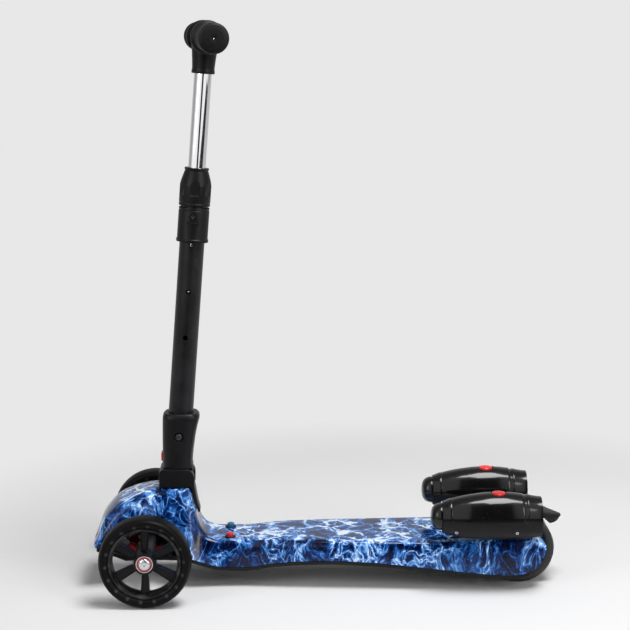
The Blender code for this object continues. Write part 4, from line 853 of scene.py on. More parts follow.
WHEEL_Z = 0.06
TRACK = 0.234
TYRE_LINE = (
    (0.0473, 0.0126),
    (0.0505, 0.015),
    (0.0535, 0.016),
    (0.056, 0.0152),
    (0.058, 0.0128),
    (0.0592, 0.0095),
    (0.0598, 0.005),
)
RIM_R = 0.047
RIM_IN = 0.0425
HUB_HALF = 0.0135
BOSS_R = 0.0145
SPOKE_T = 0.011
SPOKES = 6
BEARING_R = 0.011
LUGS = 18
LUG_R = 0.0503
LUG_STEP = 0.0176
BEAM_END = 0.046


def across(x, side, y, z):
    """The place of a turned piece whose axis runs out of one side of the scooter."""
    return Matrix.Translation((x, side * y, z)) @ Matrix.Rotation(-side * math.pi / 2, 4, "X")


def tyre_finish():
    """Smoke urethane: road dust on the tread, a clearer flank, and a ring of small bumps with pale dots
    painted on them as highlights.
    """
    made, place = start_finish("smoke_urethane", {"IOR": 1.3, "Specular IOR Level": 0.18})
    x, z = place.axis("X") - AXLE_X, place.axis("Z") - WHEEL_Z
    radius = distance(x, z)
    turn = x.maths("ARCTAN2", z, x) * (LUGS / (2 * math.pi)) + 100.3
    along_ring = (turn.maths("FRACT", turn) - 0.5) * LUG_STEP
    lug = distance(along_ring, radius - LUG_R)
    # The pale dots on the ring of small bumps are painted highlights; the bumps themselves are raised by
    # the height.
    lug_dot_mask = 1.0 - lug.between(0.0013, 0.003)
    cloud = place.noise(55.0, 4.0, 0.6)
    dusty = radius.between(0.0572, 0.0597) * cloud.between(0.3, 0.75)
    rings = (radius * 2600.0).sine()
    body = cloud.blend((0.003, 0.003, 0.0032), (0.007, 0.007, 0.0075))
    lug_dots_painted_highlight = (lug_dot_mask * 0.5).blend(body, (0.075, 0.075, 0.085))
    colour = (dusty * 0.2).blend(lug_dots_painted_highlight, (0.04, 0.038, 0.036))
    level = cloud * 0.12 + dusty * 0.2 + 0.34
    height = rings * 0.1 + cloud * 0.3 + lug_dot_mask * 0.9 + place.noise(900.0, 1.0) * 0.2
    return feed(made, colour, level, height, 0.0002, 0.5)


def hub_finish(name, centre_x, centre_z, out):
    """Glass-filled nylon: swirls from the gates, a worn bright line near the rim's edge."""
    made, place = start_finish(name, {"IOR": 1.32, "Specular IOR Level": 0.4})
    x, z = place.axis("X") - centre_x, place.axis("Z") - centre_z
    radius = distance(x, z)
    cloud = place.noise(70.0, 4.0, 0.55, 0.8)
    edge = radius.between(out - 0.0012, out) * cloud.between(0.4, 0.7)
    fine = place.noise(1200.0, 1.0)
    body = cloud.blend((0.004, 0.004, 0.0045), (0.009, 0.009, 0.01))
    colour = (edge * 0.4).blend(body, (0.12, 0.12, 0.125))
    level = cloud * 0.14 + edge * 0.1 + 0.3
    return feed(made, colour, level, cloud * 0.5 + fine * 0.3, 0.00018, 0.5)


def grooved_spoke(bm, start, end, near_half, far_half, deep, place):
    """A spoke that widens towards the rim, with a sunk channel in each face."""
    own = bmesh.new()
    made = []
    corners = ((start, -near_half), (end, -far_half), (end, far_half), (start, near_half))
    for face in (-deep / 2, deep / 2):
        made.append([own.verts.new((x, y, face)) for x, y in corners])
    low, high = own.faces.new(made[0][::-1]), own.faces.new(made[1])
    for i in range(4):
        j = (i + 1) % 4
        own.faces.new((made[0][i], made[0][j], made[1][j], made[1][i]))
    bmesh.ops.inset_region(own, faces=[low], thickness=0.0019, depth=0)
    bmesh.ops.inset_region(own, faces=[high], thickness=0.0019, depth=0)
    bmesh.ops.translate(own, verts=low.verts, vec=(0, 0, 0.003))
    bmesh.ops.translate(own, verts=high.verts, vec=(0, 0, -0.003))
    join_in(bm, own, place)


SMOKE_TYRE = tyre_finish()
FRONT_HUB = hub_finish("front_nylon", AXLE_X, WHEEL_Z, RIM_IN)
RED_SHIELD = moulded("red_shield", (0.42, 0.03, 0.045), 0.3, 0.2, (0.8, 0.35, 0.35), Coat_Weight=0.4)
BOLT_STEEL = spun_steel("bolt_steel", (0.8, 0.8, 0.81), 0.2, (AXLE_X, WHEEL_Z))
for side, word in ((-1, "left"), (1, "right")):
    place = across(0, side, TRACK / 2, WHEEL_Z)
    wheel_body = f"front_wheel_{word}"
    flank = [*TYRE_LINE, (WHEEL_Z, 0.0), *mirror(TYRE_LINE)]
    tyre = turned(f"cast_tyre_{word}", flank, place, 96, 0.0007)
    fit(tyre, SMOKE_TYRE, "smoke_tyre", wheel_body, f"front_tyre_{word}")
    hub = bmesh.new()
    rim = [(RIM_R, HUB_HALF - 0.001), (RIM_R - 0.001, HUB_HALF), (RIM_R - 0.0028, HUB_HALF)]
    rim += [(RIM_IN, HUB_HALF - 0.003), (RIM_IN - 0.0012, 0.0)]
    spun(hub, [*rim, *mirror(rim[:-1])], place, 96, 0.0004)
    boss = [(BOSS_R - 0.0008, HUB_HALF), (BOSS_R + 0.0006, SPOKE_T / 2)]
    bore = [(BEARING_R + 0.0003, -HUB_HALF), (BEARING_R + 0.0003, HUB_HALF)]
    spun(hub, [*boss, *mirror(boss), *bore], place, 64, 0.0005)
    for index in range(SPOKES):
        turn = Matrix.Rotation(2 * math.pi * index / SPOKES + math.pi / 2, 4, "Z")
        grooved_spoke(hub, BOSS_R - 0.0008, RIM_IN + 0.0006, 0.0036, 0.006, SPOKE_T + 0.003, place @ turn)
    wheel = solid(hub, f"spoked_hub_{word}")
    soften(wheel, 0.0004)
    fit(wheel, FRONT_HUB, "black_plastic", wheel_body, f"front_hub_{word}")
    bearing = bmesh.new()
    spun(bearing, pipe(BEARING_R, 0.01, HUB_HALF - 0.0001, HUB_HALF - 0.0068), place, 64, 0.0002)
    spun(bearing, pipe(0.0078, 0.0045, HUB_HALF, -HUB_HALF), place, 48, 0.0002)
    fit(solid(bearing, f"race_{word}"), BOLT_STEEL, "steel", wheel_body, f"front_bearing_{word}")
    ring = [*pipe(0.0101, 0.0077, HUB_HALF - 0.0006, HUB_HALF - 0.0016), (0.0089, HUB_HALF - 0.0002)]
    shield = turned(f"bearing_shield_{word}", ring, place, 64, 0.0002)
    fit(shield, RED_SHIELD, "red_plastic", wheel_body)
    top = HUB_HALF + 0.0025
    head = [(0, top - 0.0016), (0.0018, top - 0.0016), (0.0022, top), (0.0052, top - 0.0004)]
    head += [(0.0068, top - 0.0012), (0.0075, HUB_HALF + 0.0004), (0.004, HUB_HALF + 0.0003)]
    shank_end = BEAM_END - TRACK / 2
    shank = [(0.004, shank_end), (0, shank_end)]
    bolt = turned(f"wheel_bolt_{word}", [*head, *shank], place, 48, 0.0002)
    fit(bolt, BOLT_STEEL, "steel", "truck", f"axle_bolt_{word}")

# Rear wheels: two narrow urethane wheels side by side on one steel axle, inside the tail of the deck.
# Each tyre is cast round a nylon hub with five ribs, and the axle is held by the blocks of the tray.

REAR_TYRE = (
    (0.0343, 0.0116),
    (0.04, 0.013),
    (0.044, 0.0133),
    (0.046, 0.0122),
    (0.0467, 0.0095),
)
REAR_RIM_IN = 0.03
REAR_Y = 0.0195
REAR_RIBS = 5


def rear_tyre_finish():
    made, place = start_finish("rear_urethane", {"IOR": 1.5, "Coat Weight": 0.2, "Coat Roughness": 0.2})
    x, z = place.axis("X") - (AXLE_X + REAR_AXLE_X), place.axis("Z") - REAR_WHEEL_R
    radius = distance(x, z)
    cloud = place.noise(60.0, 4.0, 0.6)
    dusty = radius.between(0.0445, 0.0468) * cloud.between(0.3, 0.7)
    rings = (radius * 2600.0).sine()
    body = cloud.blend((0.0035, 0.0035, 0.004), (0.008, 0.008, 0.0085))
    colour = (dusty * 0.4).blend(body, (0.085, 0.08, 0.075))
    level = cloud * 0.14 + dusty * 0.25 + 0.26
    height = rings * 0.1 + cloud * 0.3 + place.noise(900.0, 1.0) * 0.25
    return feed(made, colour, level, height, 0.0002, 0.5)


REAR_URETHANE = rear_tyre_finish()
REAR_HUB = hub_finish("rear_nylon", AXLE_X + REAR_AXLE_X, REAR_WHEEL_R, REAR_RIM_IN)
for side, word in ((-1, "left"), (1, "right")):
    place = across(REAR_AXLE_X, side, REAR_Y, REAR_WHEEL_R)
    wheel_body = f"rear_wheel_{word}"
    flank = [*REAR_TYRE, (REAR_WHEEL_R, 0.005)]
    tyre = turned(f"narrow_tyre_{word}", [*flank, *mirror(flank)], place, 80, 0.0006)
    fit(tyre, REAR_URETHANE, "smoke_tyre", wheel_body, f"rear_tyre_{word}")
    hub = bmesh.new()
    rim = [(0.034, 0.011), (0.0332, 0.0116), (0.0312, 0.0116), (REAR_RIM_IN, 0.0104)]
    rim += [(REAR_RIM_IN, 0.006), (0.015, 0.006), (0.0145, 0.0112), (0.0105, 0.0116), (0.0043, 0.0116)]
    spun(hub, [*rim, *mirror(rim)], place, 72, 0.0004)
    for index in range(REAR_RIBS):
        turn = Matrix.Rotation(2 * math.pi * index / REAR_RIBS, 4, "Z")
        block(hub, (0.014, -0.0016, -0.0098), (0.0305, 0.0016, 0.0098), 0.0004, place @ turn)
    fit(solid(hub, f"ribbed_hub_{word}"), REAR_HUB, "black_plastic", wheel_body, f"rear_hub_{word}")
REAR_STEEL = spun_steel("axle_steel", centre=(AXLE_X + REAR_AXLE_X, REAR_WHEEL_R))
end = [(0, 0.061), (0.003, 0.061), (0.004, 0.06)]
lie = across(REAR_AXLE_X, 1, 0, REAR_WHEEL_R)
axle = turned("rear_axle_rod", [*end, *mirror(end)], lie, 40)
fit(axle, REAR_STEEL, "steel", "chassis", "rear_axle")

# Foot brake: a stiff nylon flap over both rear wheels, hinged on a cross pin at its front. Raised bars
# on top keep the foot from slipping, and the tongue at the back ends in a thin lip.

PIN_X = 0.4385
PIN_Z = 0.079
HINGE_Y = 0.0205
FLAP_BARS = (0.46, 0.468, 0.476, 0.484, 0.492, 0.5, 0.508)
FLAP_OVER = 0.052
FLAP_ROWS = (
    (0.444, 0.088, 0.0305, 0.082),
    (0.456, 0.0925, 0.032, 0.082),
    (0.47, 0.0985, 0.032, 0.082),
    (0.485, 0.1022, 0.032, 0.082),
    (0.497, 0.1035, 0.032, 0.082),
    (0.51, 0.103, 0.031, 0.082),
    (0.522, 0.099, 0.0285, 0.082),
    (0.534, 0.0935, 0.0235, 0.0785),
    (0.545, 0.0895, 0.0165, 0.079),
    (0.552, 0.0877, 0.01, 0.0815),
    (0.556, 0.0866, 0.0045, 0.0844),
)


def flap_ring(x):
    over, half, low = across_row(FLAP_ROWS, x)
    reach = min(abs(x - REAR_AXLE_X), FLAP_OVER)
    under = max(REAR_WHEEL_R + math.sqrt(FLAP_OVER**2 - reach**2), low)
    deep = over - under
    right = [(half * 0.35, over), (half * 0.72, over - deep * 0.04), (half * 0.9, over - deep * 0.18)]
    right += [(half * 0.98, over - deep * 0.42), (half, over - deep * 0.7)]
    right += [(half, under), (half * 0.5, under)]
    line = [(-y, z) for y, z in reversed(right)] + [(0.0, over)] + right
    return [(x, y, z) for y, z in [*line, (0.0, under)]]


flap_mesh = skinned([flap_ring(x) for x in places(FLAP_ROWS, 0.0025)])
for side in (-1, 1):
    hinge = across(PIN_X, side, HINGE_Y, PIN_Z)
    spun(flap_mesh, pipe(0.006, 0.0028, 0.0085, -0.0085), hinge, 40, 0.0004)
    near, far = beside(side, 0.012, 0.029)
    block(flap_mesh, (PIN_X + 0.0032, near, PIN_Z + 0.001), (0.4475, far, PIN_Z + 0.0062), 0.0006)
for x in FLAP_BARS:
    over, half, _ = across_row(FLAP_ROWS, x)
    tilt = math.atan2(along(FLAP_ROWS, x + 0.002, 1) - along(FLAP_ROWS, x - 0.002, 1), 0.004)
    bar = Matrix.Translation((x, 0, over)) @ Matrix.Rotation(-tilt, 4, "Y")
    block(flap_mesh, (-0.0014, -half * 0.72, -0.001), (0.0014, half * 0.72, 0.0009), 0.0004, bar)
flap = solid(flap_mesh, "foot_flap")
soften(flap, 0.0004)
fit(flap, BLACK_SATIN, "black_plastic", "flap", "brake_flap")
fit(copied("brake_mount", "hinge_block", 0.0004), BLACK_SATIN, "black_plastic", "chassis", "brake_mount")
end = [(0, 0.028), (0.0018, 0.028), (0.0025, 0.0273)]
pin = turned("flap_pin", [*end, *mirror(end)], across(PIN_X, 1, 0, PIN_Z), 32)
fit(pin, REAR_STEEL, "steel", "chassis", "brake_pin")

# Fold joint: a nylon base on top of the neck with a strip down its back, and a sleeve that folds back
# on a cross pin. A red catch slides in the sleeve's front, and a cross bolt holds the outer tube in it.

MAST_X = 0.0251
MAST_TILT = math.radians(4.2)
MAST = Matrix.Translation((MAST_X, 0, 0)) @ Matrix.Rotation(MAST_TILT, 4, "Y")
BASE_X = (0.013, 0.06)
BASE_Y = 0.0235
BASE_Z = (0.1313, 0.156)
FOLD_R = 0.012
FRONT_R = 0.006
TONGUE_R = 0.0095
TONGUE_Y = 0.0117
SLOT_R = 0.0108
SLOT_Y = 0.012
FOLD_X = BASE_X[1] - FOLD_R
FOLD_Z = BASE_Z[1] - FOLD_R
TAIL_ROWS = (
    (0.094, 0.064, 0.0672, 0.011),
    (0.108, 0.0597, 0.0637, 0.014),
    (0.126, 0.0545, 0.0605, 0.0155),
    (0.137, 0.0515, 0.0577, 0.016),
)
SLEEVE_ROWS = (
    (0.1564, 0.0178, 0.0577, 0.0215),
    (0.1604, 0.0173, 0.0573, 0.022),
    (0.193, 0.0173, 0.0605, 0.0225),
    (0.214, 0.0175, 0.0645, 0.023),
    (0.2245, 0.0178, 0.067, 0.0235),
    (0.228, 0.0186, 0.0664, 0.0229),
    (0.2305, 0.021, 0.064, 0.0207),
)
BOLT_S = 0.2005
SEAT_R = 0.0169
SEAT_S = 0.187
CATCH_Z = (0.1635, 0.176)
CATCH_Y = 0.0072
CATCH_GAP = 0.0004
CATCH_RIBS = (0.1672, 0.1698, 0.1724)
RING_POINTS = 56
BLUNTNESS = 3.2


def blunt_ring(z, x0, x1, half_y):
    """A rounded rectangle at one height."""
    middle, half_x = (x0 + x1) / 2, (x1 - x0) / 2
    ring = []
    for i in range(RING_POINTS):
        turn = 2 * math.pi * i / RING_POINTS
        c, s = math.cos(turn), math.sin(turn)
        x = middle + half_x * math.copysign(abs(c) ** (2 / BLUNTNESS), c)
        ring.append((x, half_y * math.copysign(abs(s) ** (2 / BLUNTNESS), s), z))
    return ring


line = [(BASE_X[0], BASE_Z[0]), (BASE_X[1], BASE_Z[0]), *arc(FOLD_X, FOLD_Z, FOLD_R, math.pi / 2, 14)]
for step in range(9):
    turn = math.pi / 2 * step / 8
    x = BASE_X[0] + FRONT_R - FRONT_R * math.sin(turn)
    line.append((x, BASE_Z[1] - FRONT_R + FRONT_R * math.cos(turn)))
base = solid(extruded(line, BASE_Y), "fold_block")
rows = []
for step in range(25):
    z = TAIL_ROWS[0][0] + (TAIL_ROWS[-1][0] - TAIL_ROWS[0][0]) * step / 24
    front, back, half = across_row(TAIL_ROWS, z)
    ring = [(front, -half), (front, half), (back - 0.0008, half), (back, half - 0.0016), (back, 0.0)]
    rows.append([(x, y, z) for x, y in [*ring, (back, 0.0016 - half), (back - 0.0008, -half)]])
cut(base, skinned(rows), "UNION")
cut(base, block(bmesh.new(), (FOLD_X - SLOT_R, -SLOT_Y, FOLD_Z - SLOT_R), (0.08, SLOT_Y, 0.17)))
soften(base, 0.0009, 3, 42)
fit(base, BLACK_SATIN, "black_plastic", "chassis", "fold_base")
levels = places(SLEEVE_ROWS, 0.003)
rings = [blunt_ring(z, *across_row(SLEEVE_ROWS, z)) for z in levels]
sleeve = solid(skinned(rings), "fold_sleeve_body")
under = arc(FOLD_X, FOLD_Z, -TONGUE_R, math.pi, 20)
outline = [(FOLD_X - TONGUE_R, 0.16), *under, (FOLD_X + TONGUE_R, 0.16)]
cut(sleeve, extruded(outline, TONGUE_Y), "UNION")
cut(sleeve, spun(bmesh.new(), rod(SEAT_R, 0.26, SEAT_S), MAST, 64))
recess = bmesh.new()
bolt_place = MAST @ Matrix.Translation((0, 0, BOLT_S)) @ Matrix.Rotation(math.pi / 2, 4, "X")
for end in (-1, 1):
    deep = [(0, 0.04), (0.0066, 0.04), (0.0066, 0.0214), (0.0052, 0.02), (0, 0.02)]
    spun(recess, [(radius, end * out) for radius, out in deep], bolt_place, 48)
low = (0.0, -CATCH_Y - CATCH_GAP, CATCH_Z[0] - CATCH_GAP)
block(recess, low, (0.029, CATCH_Y + CATCH_GAP, CATCH_Z[1] + CATCH_GAP), 0.001)
cut(sleeve, recess)
soften(sleeve, 0.0006, 3, 42)
fit(sleeve, BLACK_SATIN, "black_plastic", "mast", "fold_sleeve")
ZINC = spun_steel("dark_zinc", (0.12, 0.12, 0.13), 0.34, (AXLE_X + 0.04, 0.2))
bolt = bmesh.new()
head = [(0, 0.0206), (0.002, 0.0206), (0.0024, 0.0222), (0.0036, 0.0222), (0.0046, 0.0212)]
head += [(0.0046, 0.0195), (0.003, 0.0193), (0.003, 0.0), (0, 0.0)]
spun(bolt, head, bolt_place, 40, 0.0002)
nut_end = [(0, 0.0), (0.003, 0.0), (0.003, -0.0193), (0.0046, -0.0195), (0.0046, -0.0218)]
spun(bolt, [*nut_end, (0, -0.0218)], bolt_place, 6)
fit(solid(bolt, "sleeve_bolt"), ZINC, "steel", "mast", "mast_bolt")
end = [(0, 0.0218), (0.003, 0.022), (0.004, 0.0212)]
pin = turned("hinge_pin", [*end, *mirror(end)], across(FOLD_X, 1, 0, FOLD_Z), 40)
fit(pin, ZINC, "steel", "chassis", "fold_pin")
catch = bmesh.new()
block(catch, (0.0153, -CATCH_Y, CATCH_Z[0]), (0.0218, CATCH_Y, CATCH_Z[1]), 0.0018)
for z in CATCH_RIBS:
    block(catch, (0.0149, -0.0046, z - 0.0005), (0.0158, 0.0046, z + 0.0005), 0.0002)
made = solid(catch, "catch_slide")
soften(made, 0.0003)
fit(made, RED_PLASTIC, "red_plastic", "release", "release_button")

# Outer tube: 33 mm steel tube with a black powder coat, bolted into the sleeve. Three holes down its
# left side set the height of the handlebar.

TUBE_R = 0.0164
TUBE_BORE_R = 0.0148
TUBE_S = (SEAT_S, 0.53)
HOLE_S = (0.3342, 0.3955, 0.4568)


def side_hole(s):
    """The place of a hole in the left side of the mast, its axis outwards."""
    return MAST @ Matrix.Translation((0, 0, s)) @ Matrix.Rotation(math.pi / 2, 4, "X")


outer_tube = turned("coated_tube", pipe(TUBE_R, TUBE_BORE_R, TUBE_S[1], TUBE_S[0]), MAST, 96)
holes = bmesh.new()
for s in HOLE_S:
    spun(holes, rod(0.0034, 0.03, 0.005), side_hole(s), 32)
spun(holes, rod(0.0033, 0.04, -0.04), side_hole(BOLT_S), 32)
cut(outer_tube, holes)
soften(outer_tube, 0.0003, 2, 40)
fit(outer_tube, BLACK_COAT, "black_paint", "mast", "outer_tube")

# Tube clamp: a split nylon body pinched by a screw on top of the outer tube, and a screwed nut with six
# finger flats that squeezes a slotted bush onto the chrome tube.

BODY_R = 0.0202
BODY_S = (0.461, 0.5065)
NUT_R = 0.0206
NUT_S = (0.5085, 0.558)
BORE_R = 0.0167
FLAT_S = (0.5215, 0.552)
PINCH_S = 0.4945
STRAP_S = 0.487
STEM_BORE_R = 0.0117
profile = [
    (BODY_R - 0.0004, BODY_S[1]),
    (BODY_R, BODY_S[1] - 0.0022),
    (BODY_R - 0.0007, BODY_S[1] - 0.003),
    (BODY_R - 0.0007, BODY_S[1] - 0.0036),
    (BODY_R, BODY_S[1] - 0.0044),
    (BODY_R, BODY_S[0] + 0.0045),
    (BODY_R + 0.0009, BODY_S[0] + 0.0034),
    (BODY_R + 0.0009, BODY_S[0]),
    (BORE_R, BODY_S[0]),
    (BORE_R, BODY_S[1]),
]
clamp_body = turned("split_body", profile, MAST, 96, 0.0003)
grooves = bmesh.new()
block(grooves, (0.012, -0.001, BODY_S[0] - 0.01), (0.03, 0.001, BODY_S[0] + 0.03), 0.0, MAST)
spun(grooves, rod(0.003, 0.03, BODY_R - 0.0022), side_hole(PINCH_S), 40)
cut(clamp_body, grooves)
top, foot = BODY_R + 0.0006, BODY_R - 0.002
collar = [(0.0032, top), (0.0042, top), (0.005, foot), (0.0032, foot)]
boss = spun(bmesh.new(), collar, side_hole(PINCH_S), 48, 0.0002)
strap = side_hole(STRAP_S) @ Matrix.Translation((0, 0, BODY_R - 0.0006))
block(boss, (-0.0088, -0.0008, -0.0009), (0.0088, 0.0003, 0.0009), 0.0004, strap)
cut(clamp_body, boss, "UNION")
soften(clamp_body, 0.0003, 2, 40)
fit(clamp_body, BLACK_SATIN, "black_plastic", "mast", "clamp_body")
head = [(0, -0.0012), (0.0011, -0.0012), (0.0014, -0.0003), (0.0026, -0.0004), (0.0028, -0.0024)]
line = [(radius, BODY_R + out) for radius, out in [*head, (0, -0.0024)]]
pinch = turned("pinch_screw", line, side_hole(PINCH_S), 32, 0.0001)
fit(pinch, ZINC, "steel", "mast")
profile = [
    (0.0159, NUT_S[1]),
    (0.0162, NUT_S[1] - 0.0006),
    (0.0158, NUT_S[1] - 0.0022),
    (0.0152, NUT_S[1] - 0.0036),
    (0.0158, NUT_S[1] - 0.005),
    (0.0176, NUT_S[1] - 0.0105),
    (0.0196, NUT_S[1] - 0.017),
    (NUT_R, NUT_S[1] - 0.0225),
    (NUT_R, NUT_S[0] + 0.005),
    (NUT_R - 0.0005, NUT_S[0] + 0.0044),
    (NUT_R - 0.0005, NUT_S[0] + 0.0034),
    (NUT_R, NUT_S[0] + 0.0028),
    (NUT_R - 0.0002, NUT_S[0]),
    (BORE_R, NUT_S[0]),
    (BORE_R, 0.5336),
    (STEM_BORE_R, 0.5336),
    (STEM_BORE_R, NUT_S[1]),
]
nut = turned("clamp_nut_body", profile, MAST, 96, 0.0003)
flats = bmesh.new()
for index in range(6):
    turn = MAST @ Matrix.Rotation(math.pi / 3 * index - math.pi / 2, 4, "Z")
    block(flats, (NUT_R - 0.0013, -0.0076, FLAT_S[0]), (NUT_R + 0.02, 0.0076, FLAT_S[1]), 0.0022, turn)
cut(nut, flats)
soften(nut, 0.0004, 2, 40)
fit(nut, BLACK_SATIN, "black_plastic", "nut", "clamp_nut")
RUBBER = moulded("black_rubber", (0.006, 0.0056, 0.0064), 0.5, 0.8, (0.11, 0.11, 0.11))
fit(copied("guide_bush", "slotted_bush", 0.0003), RUBBER, "black_rubber", "mast", "guide_bush")

# Chrome tube: 23 mm steel tube with bright chrome, which slides in the outer tube. A rubber plug guides
# its foot, and a spring button in it snaps into the height holes.

CHROME_R = 0.0114
CHROME_BORE_R = 0.0101
CHROME_S = (0.378, 0.722)
SNAP_S = 0.3955
BAR_BORE_R = 0.0113
BAR_S = 0.7265
BAR_TURN = math.radians(7)
BAR = MAST @ Matrix.Translation((0, 0, BAR_S)) @ Matrix.Rotation(BAR_TURN, 4, "Z")


def chrome_finish():
    """Bright chrome: hair-fine slide marks down the tube and a faint breath of fingerprints."""
    made, place = start_finish("bright_chrome", {"Metallic": 1.0})
    marks = place.placed((900.0, 900.0, 9.0)).noise(1.0, 2.0, 0.6).between(0.66, 0.8)
    smear = place.noise(38.0, 4.0, 0.6).between(0.45, 0.75)
    pit = place.noise(1400.0, 1.0).between(0.74, 0.8)
    colour = (pit * 0.5 + smear * 0.08).blend((0.92, 0.92, 0.93), (0.45, 0.44, 0.44))
    level = marks * 0.08 + smear * 0.05 + 0.045
    return feed(made, colour, level)


CHROME = chrome_finish()
wall = pipe(CHROME_R, CHROME_BORE_R, CHROME_S[1], CHROME_S[0])
chrome_tube = turned("chrome_stem", wall, MAST, 128)
across_bar = BAR @ Matrix.Rotation(math.pi / 2, 4, "X")
bore = spun(bmesh.new(), rod(BAR_BORE_R, 0.05, -0.05), across_bar, 48)
spun(bore, rod(0.0033, 0.03, 0.004), side_hole(SNAP_S), 32)
cut(chrome_tube, bore)
fit(chrome_tube, CHROME, "chrome", "bar", "inner_tube")
fit(copied("glide_plug", "foot_plug", 0.0003), RUBBER, "black_rubber", "bar", "glide_plug")
dome = [(0, 0.0144), (0.001, 0.0142), (0.002, 0.0136), (0.0027, 0.0127), (0.003, 0.0116), (0.003, 0.0047)]
snap = turned("spring_button", [*dome, (0, 0.0047)], side_hole(SNAP_S), 32)
fit(snap, spun_steel("button_steel", centre=(AXLE_X + 0.05, 0.39)), "steel", "snap", "snap_button")

# T-bar: a nylon T pressed on the chrome tube, a steel crossbar through it and two ribbed rubber grips,
# each with a stop flange inside and a domed end with a small rivet in a dimple.

BAR_HALF = 0.1205
GRIP_IN = 0.03
GRIP_RIBS = 14
GRIP_R = 0.0165
GRIP_RIB_R = 0.0176
stem = [
    (0, 0.0),
    (0.0172, 0.0),
    (0.017, -0.012),
    (0.0162, -0.02),
    (0.0153, -0.029),
    (0.0147, -0.038),
    (0.0146, -0.0405),
    (0.0151, -0.043),
    (0.0151, -0.0458),
    (0.0147, -0.0465),
    (0.0, -0.0465),
]
tee = turned("tee", stem, BAR, 72, 0.0006)
barrel = [(0, 0.028), (0.016, 0.028), (0.0165, 0.0272), (0.0165, 0.0), (0.0165, -0.0272), (0.016, -0.028)]
cut(tee, spun(bmesh.new(), [*barrel, (0, -0.028)], across_bar, 96, 0.0003), "UNION")
cut(tee, spun(bmesh.new(), rod(BAR_BORE_R, 0.06, -0.06), across_bar, 64))
cut(tee, spun(bmesh.new(), rod(STEM_BORE_R, -0.006, -0.06), BAR, 64))
soften(tee, 0.001, 4, 40)
fit(tee, BLACK_SATIN, "black_plastic", "bar", "t_joint")
reach = BAR_HALF - 0.006
cross_tube = turned("cross_tube", pipe(0.011, 0.0095, reach, -reach), across_bar, 64)
fit(cross_tube, STEEL, "steel", "bar", "crossbar")
for side, word in ((-1, "left"), (1, "right")):
    lie = BAR @ Matrix.Rotation(-side * math.pi / 2, 4, "X")
    line = [
        (0, BAR_HALF - 0.003),
        (0.0016, BAR_HALF - 0.003),
        (0.0019, BAR_HALF - 0.0003),
        (0.006, BAR_HALF - 0.0001),
        (0.012, BAR_HALF - 0.0004),
        (GRIP_R, BAR_HALF - 0.0012),
        (0.0186, BAR_HALF - 0.0024),
        (0.0193, BAR_HALF - 0.0045),
        (0.0193, BAR_HALF - 0.008),
        (0.0182, BAR_HALF - 0.0098),
        (GRIP_R, BAR_HALF - 0.0125),
    ]
    start, end = BAR_HALF - 0.015, GRIP_IN + 0.0085
    step = (end - start) / GRIP_RIBS
    for index in range(GRIP_RIBS):
        foot = start + (end - start) * index / GRIP_RIBS
        line += [(GRIP_R, foot), (GRIP_RIB_R, foot + step * 0.25)]
        line += [(GRIP_RIB_R, foot + step * 0.65), (GRIP_R, foot + step * 0.85)]
    line += [(GRIP_R, GRIP_IN + 0.008), (0.0215, GRIP_IN + 0.0052), (0.022, GRIP_IN + 0.0035)]
    line += [(0.022, GRIP_IN + 0.0008), (0.0212, GRIP_IN), (BAR_BORE_R, GRIP_IN)]
    line += [(BAR_BORE_R, BAR_HALF - 0.0055), (0, BAR_HALF - 0.0055)]
    grip = turned(f"ribbed_grip_{word}", line, lie, 80, 0.0002)
    fit(grip, RUBBER, "black_rubber", "bar", f"grip_{word}")
    head, foot = BAR_HALF - 0.0018, BAR_HALF - 0.0028
    rivet = [(0, head), (0.0009, BAR_HALF - 0.001), (0.0014, head), (0.0014, foot), (0, foot)]
    fit(turned(f"end_rivet_{word}", rivet, lie, 24), CHROME, "chrome", "bar")

# Mist jets: two gloss ABS pods on the tail of the deck. A cover with a grooved tail band sits over a
# satin cradle with two screws a side, a domed nose closes the front, and a dished outlet the back.
# The red filler cap screws into the tank's neck on top.

JET_Y = 0.0655
SPLIT_Z = 0.101
JET_ROWS = (
    (0.3873, 0.019, 0.1218, 0.0838),
    (0.396, 0.0212, 0.125, 0.081),
    (0.41, 0.024, 0.1288, 0.0775),
    (0.428, 0.0262, 0.1322, 0.0755),
    (0.45, 0.0274, 0.1345, 0.075),
    (0.47, 0.0274, 0.1347, 0.075),
    (0.494, 0.0262, 0.1325, 0.0755),
    (0.518, 0.024, 0.1287, 0.0775),
)
KEEL = ((0.0, 1.0), (0.25, 0.985), (0.5, 0.93), (0.72, 0.82), (0.9, 0.66), (1.0, 0.49))
GROOVE = (
    (0.493, 0.0),
    (0.494, 0.0004),
    (0.4945, 0.0011),
    (0.4977, 0.0011),
    (0.4982, 0.0004),
    (0.499, 0.0),
)
BAND = ((0.3873, -0.0007), (0.3988, -0.0007), (0.3994, -0.0003), (0.3998, 0.0))
JET_WALL = 0.0022
OUTLET_X = 0.5173
OUTLET_Z = 0.1035
DOME_Z = 0.1027
CAP_NOTCHES = 12
MOUTH_R = 0.0175
CAP_X = 0.4618
CAP_R = 0.0098
SCREW_X = (0.405, 0.484)
SCREW_Z = 0.0865


def jet_arch(x, y, inset=0.0):
    """The upper half of a jet's section, a half ellipse."""
    half, top, _ = across_row(JET_ROWS, x)
    up = top - SPLIT_Z
    wide, high, foot = half - inset, up - inset, SPLIT_Z + 0.0003
    turns = [math.pi * i / 40 for i in range(41)]
    return [(x, y + wide * math.cos(turn), foot + high * math.sin(turn)) for turn in turns]


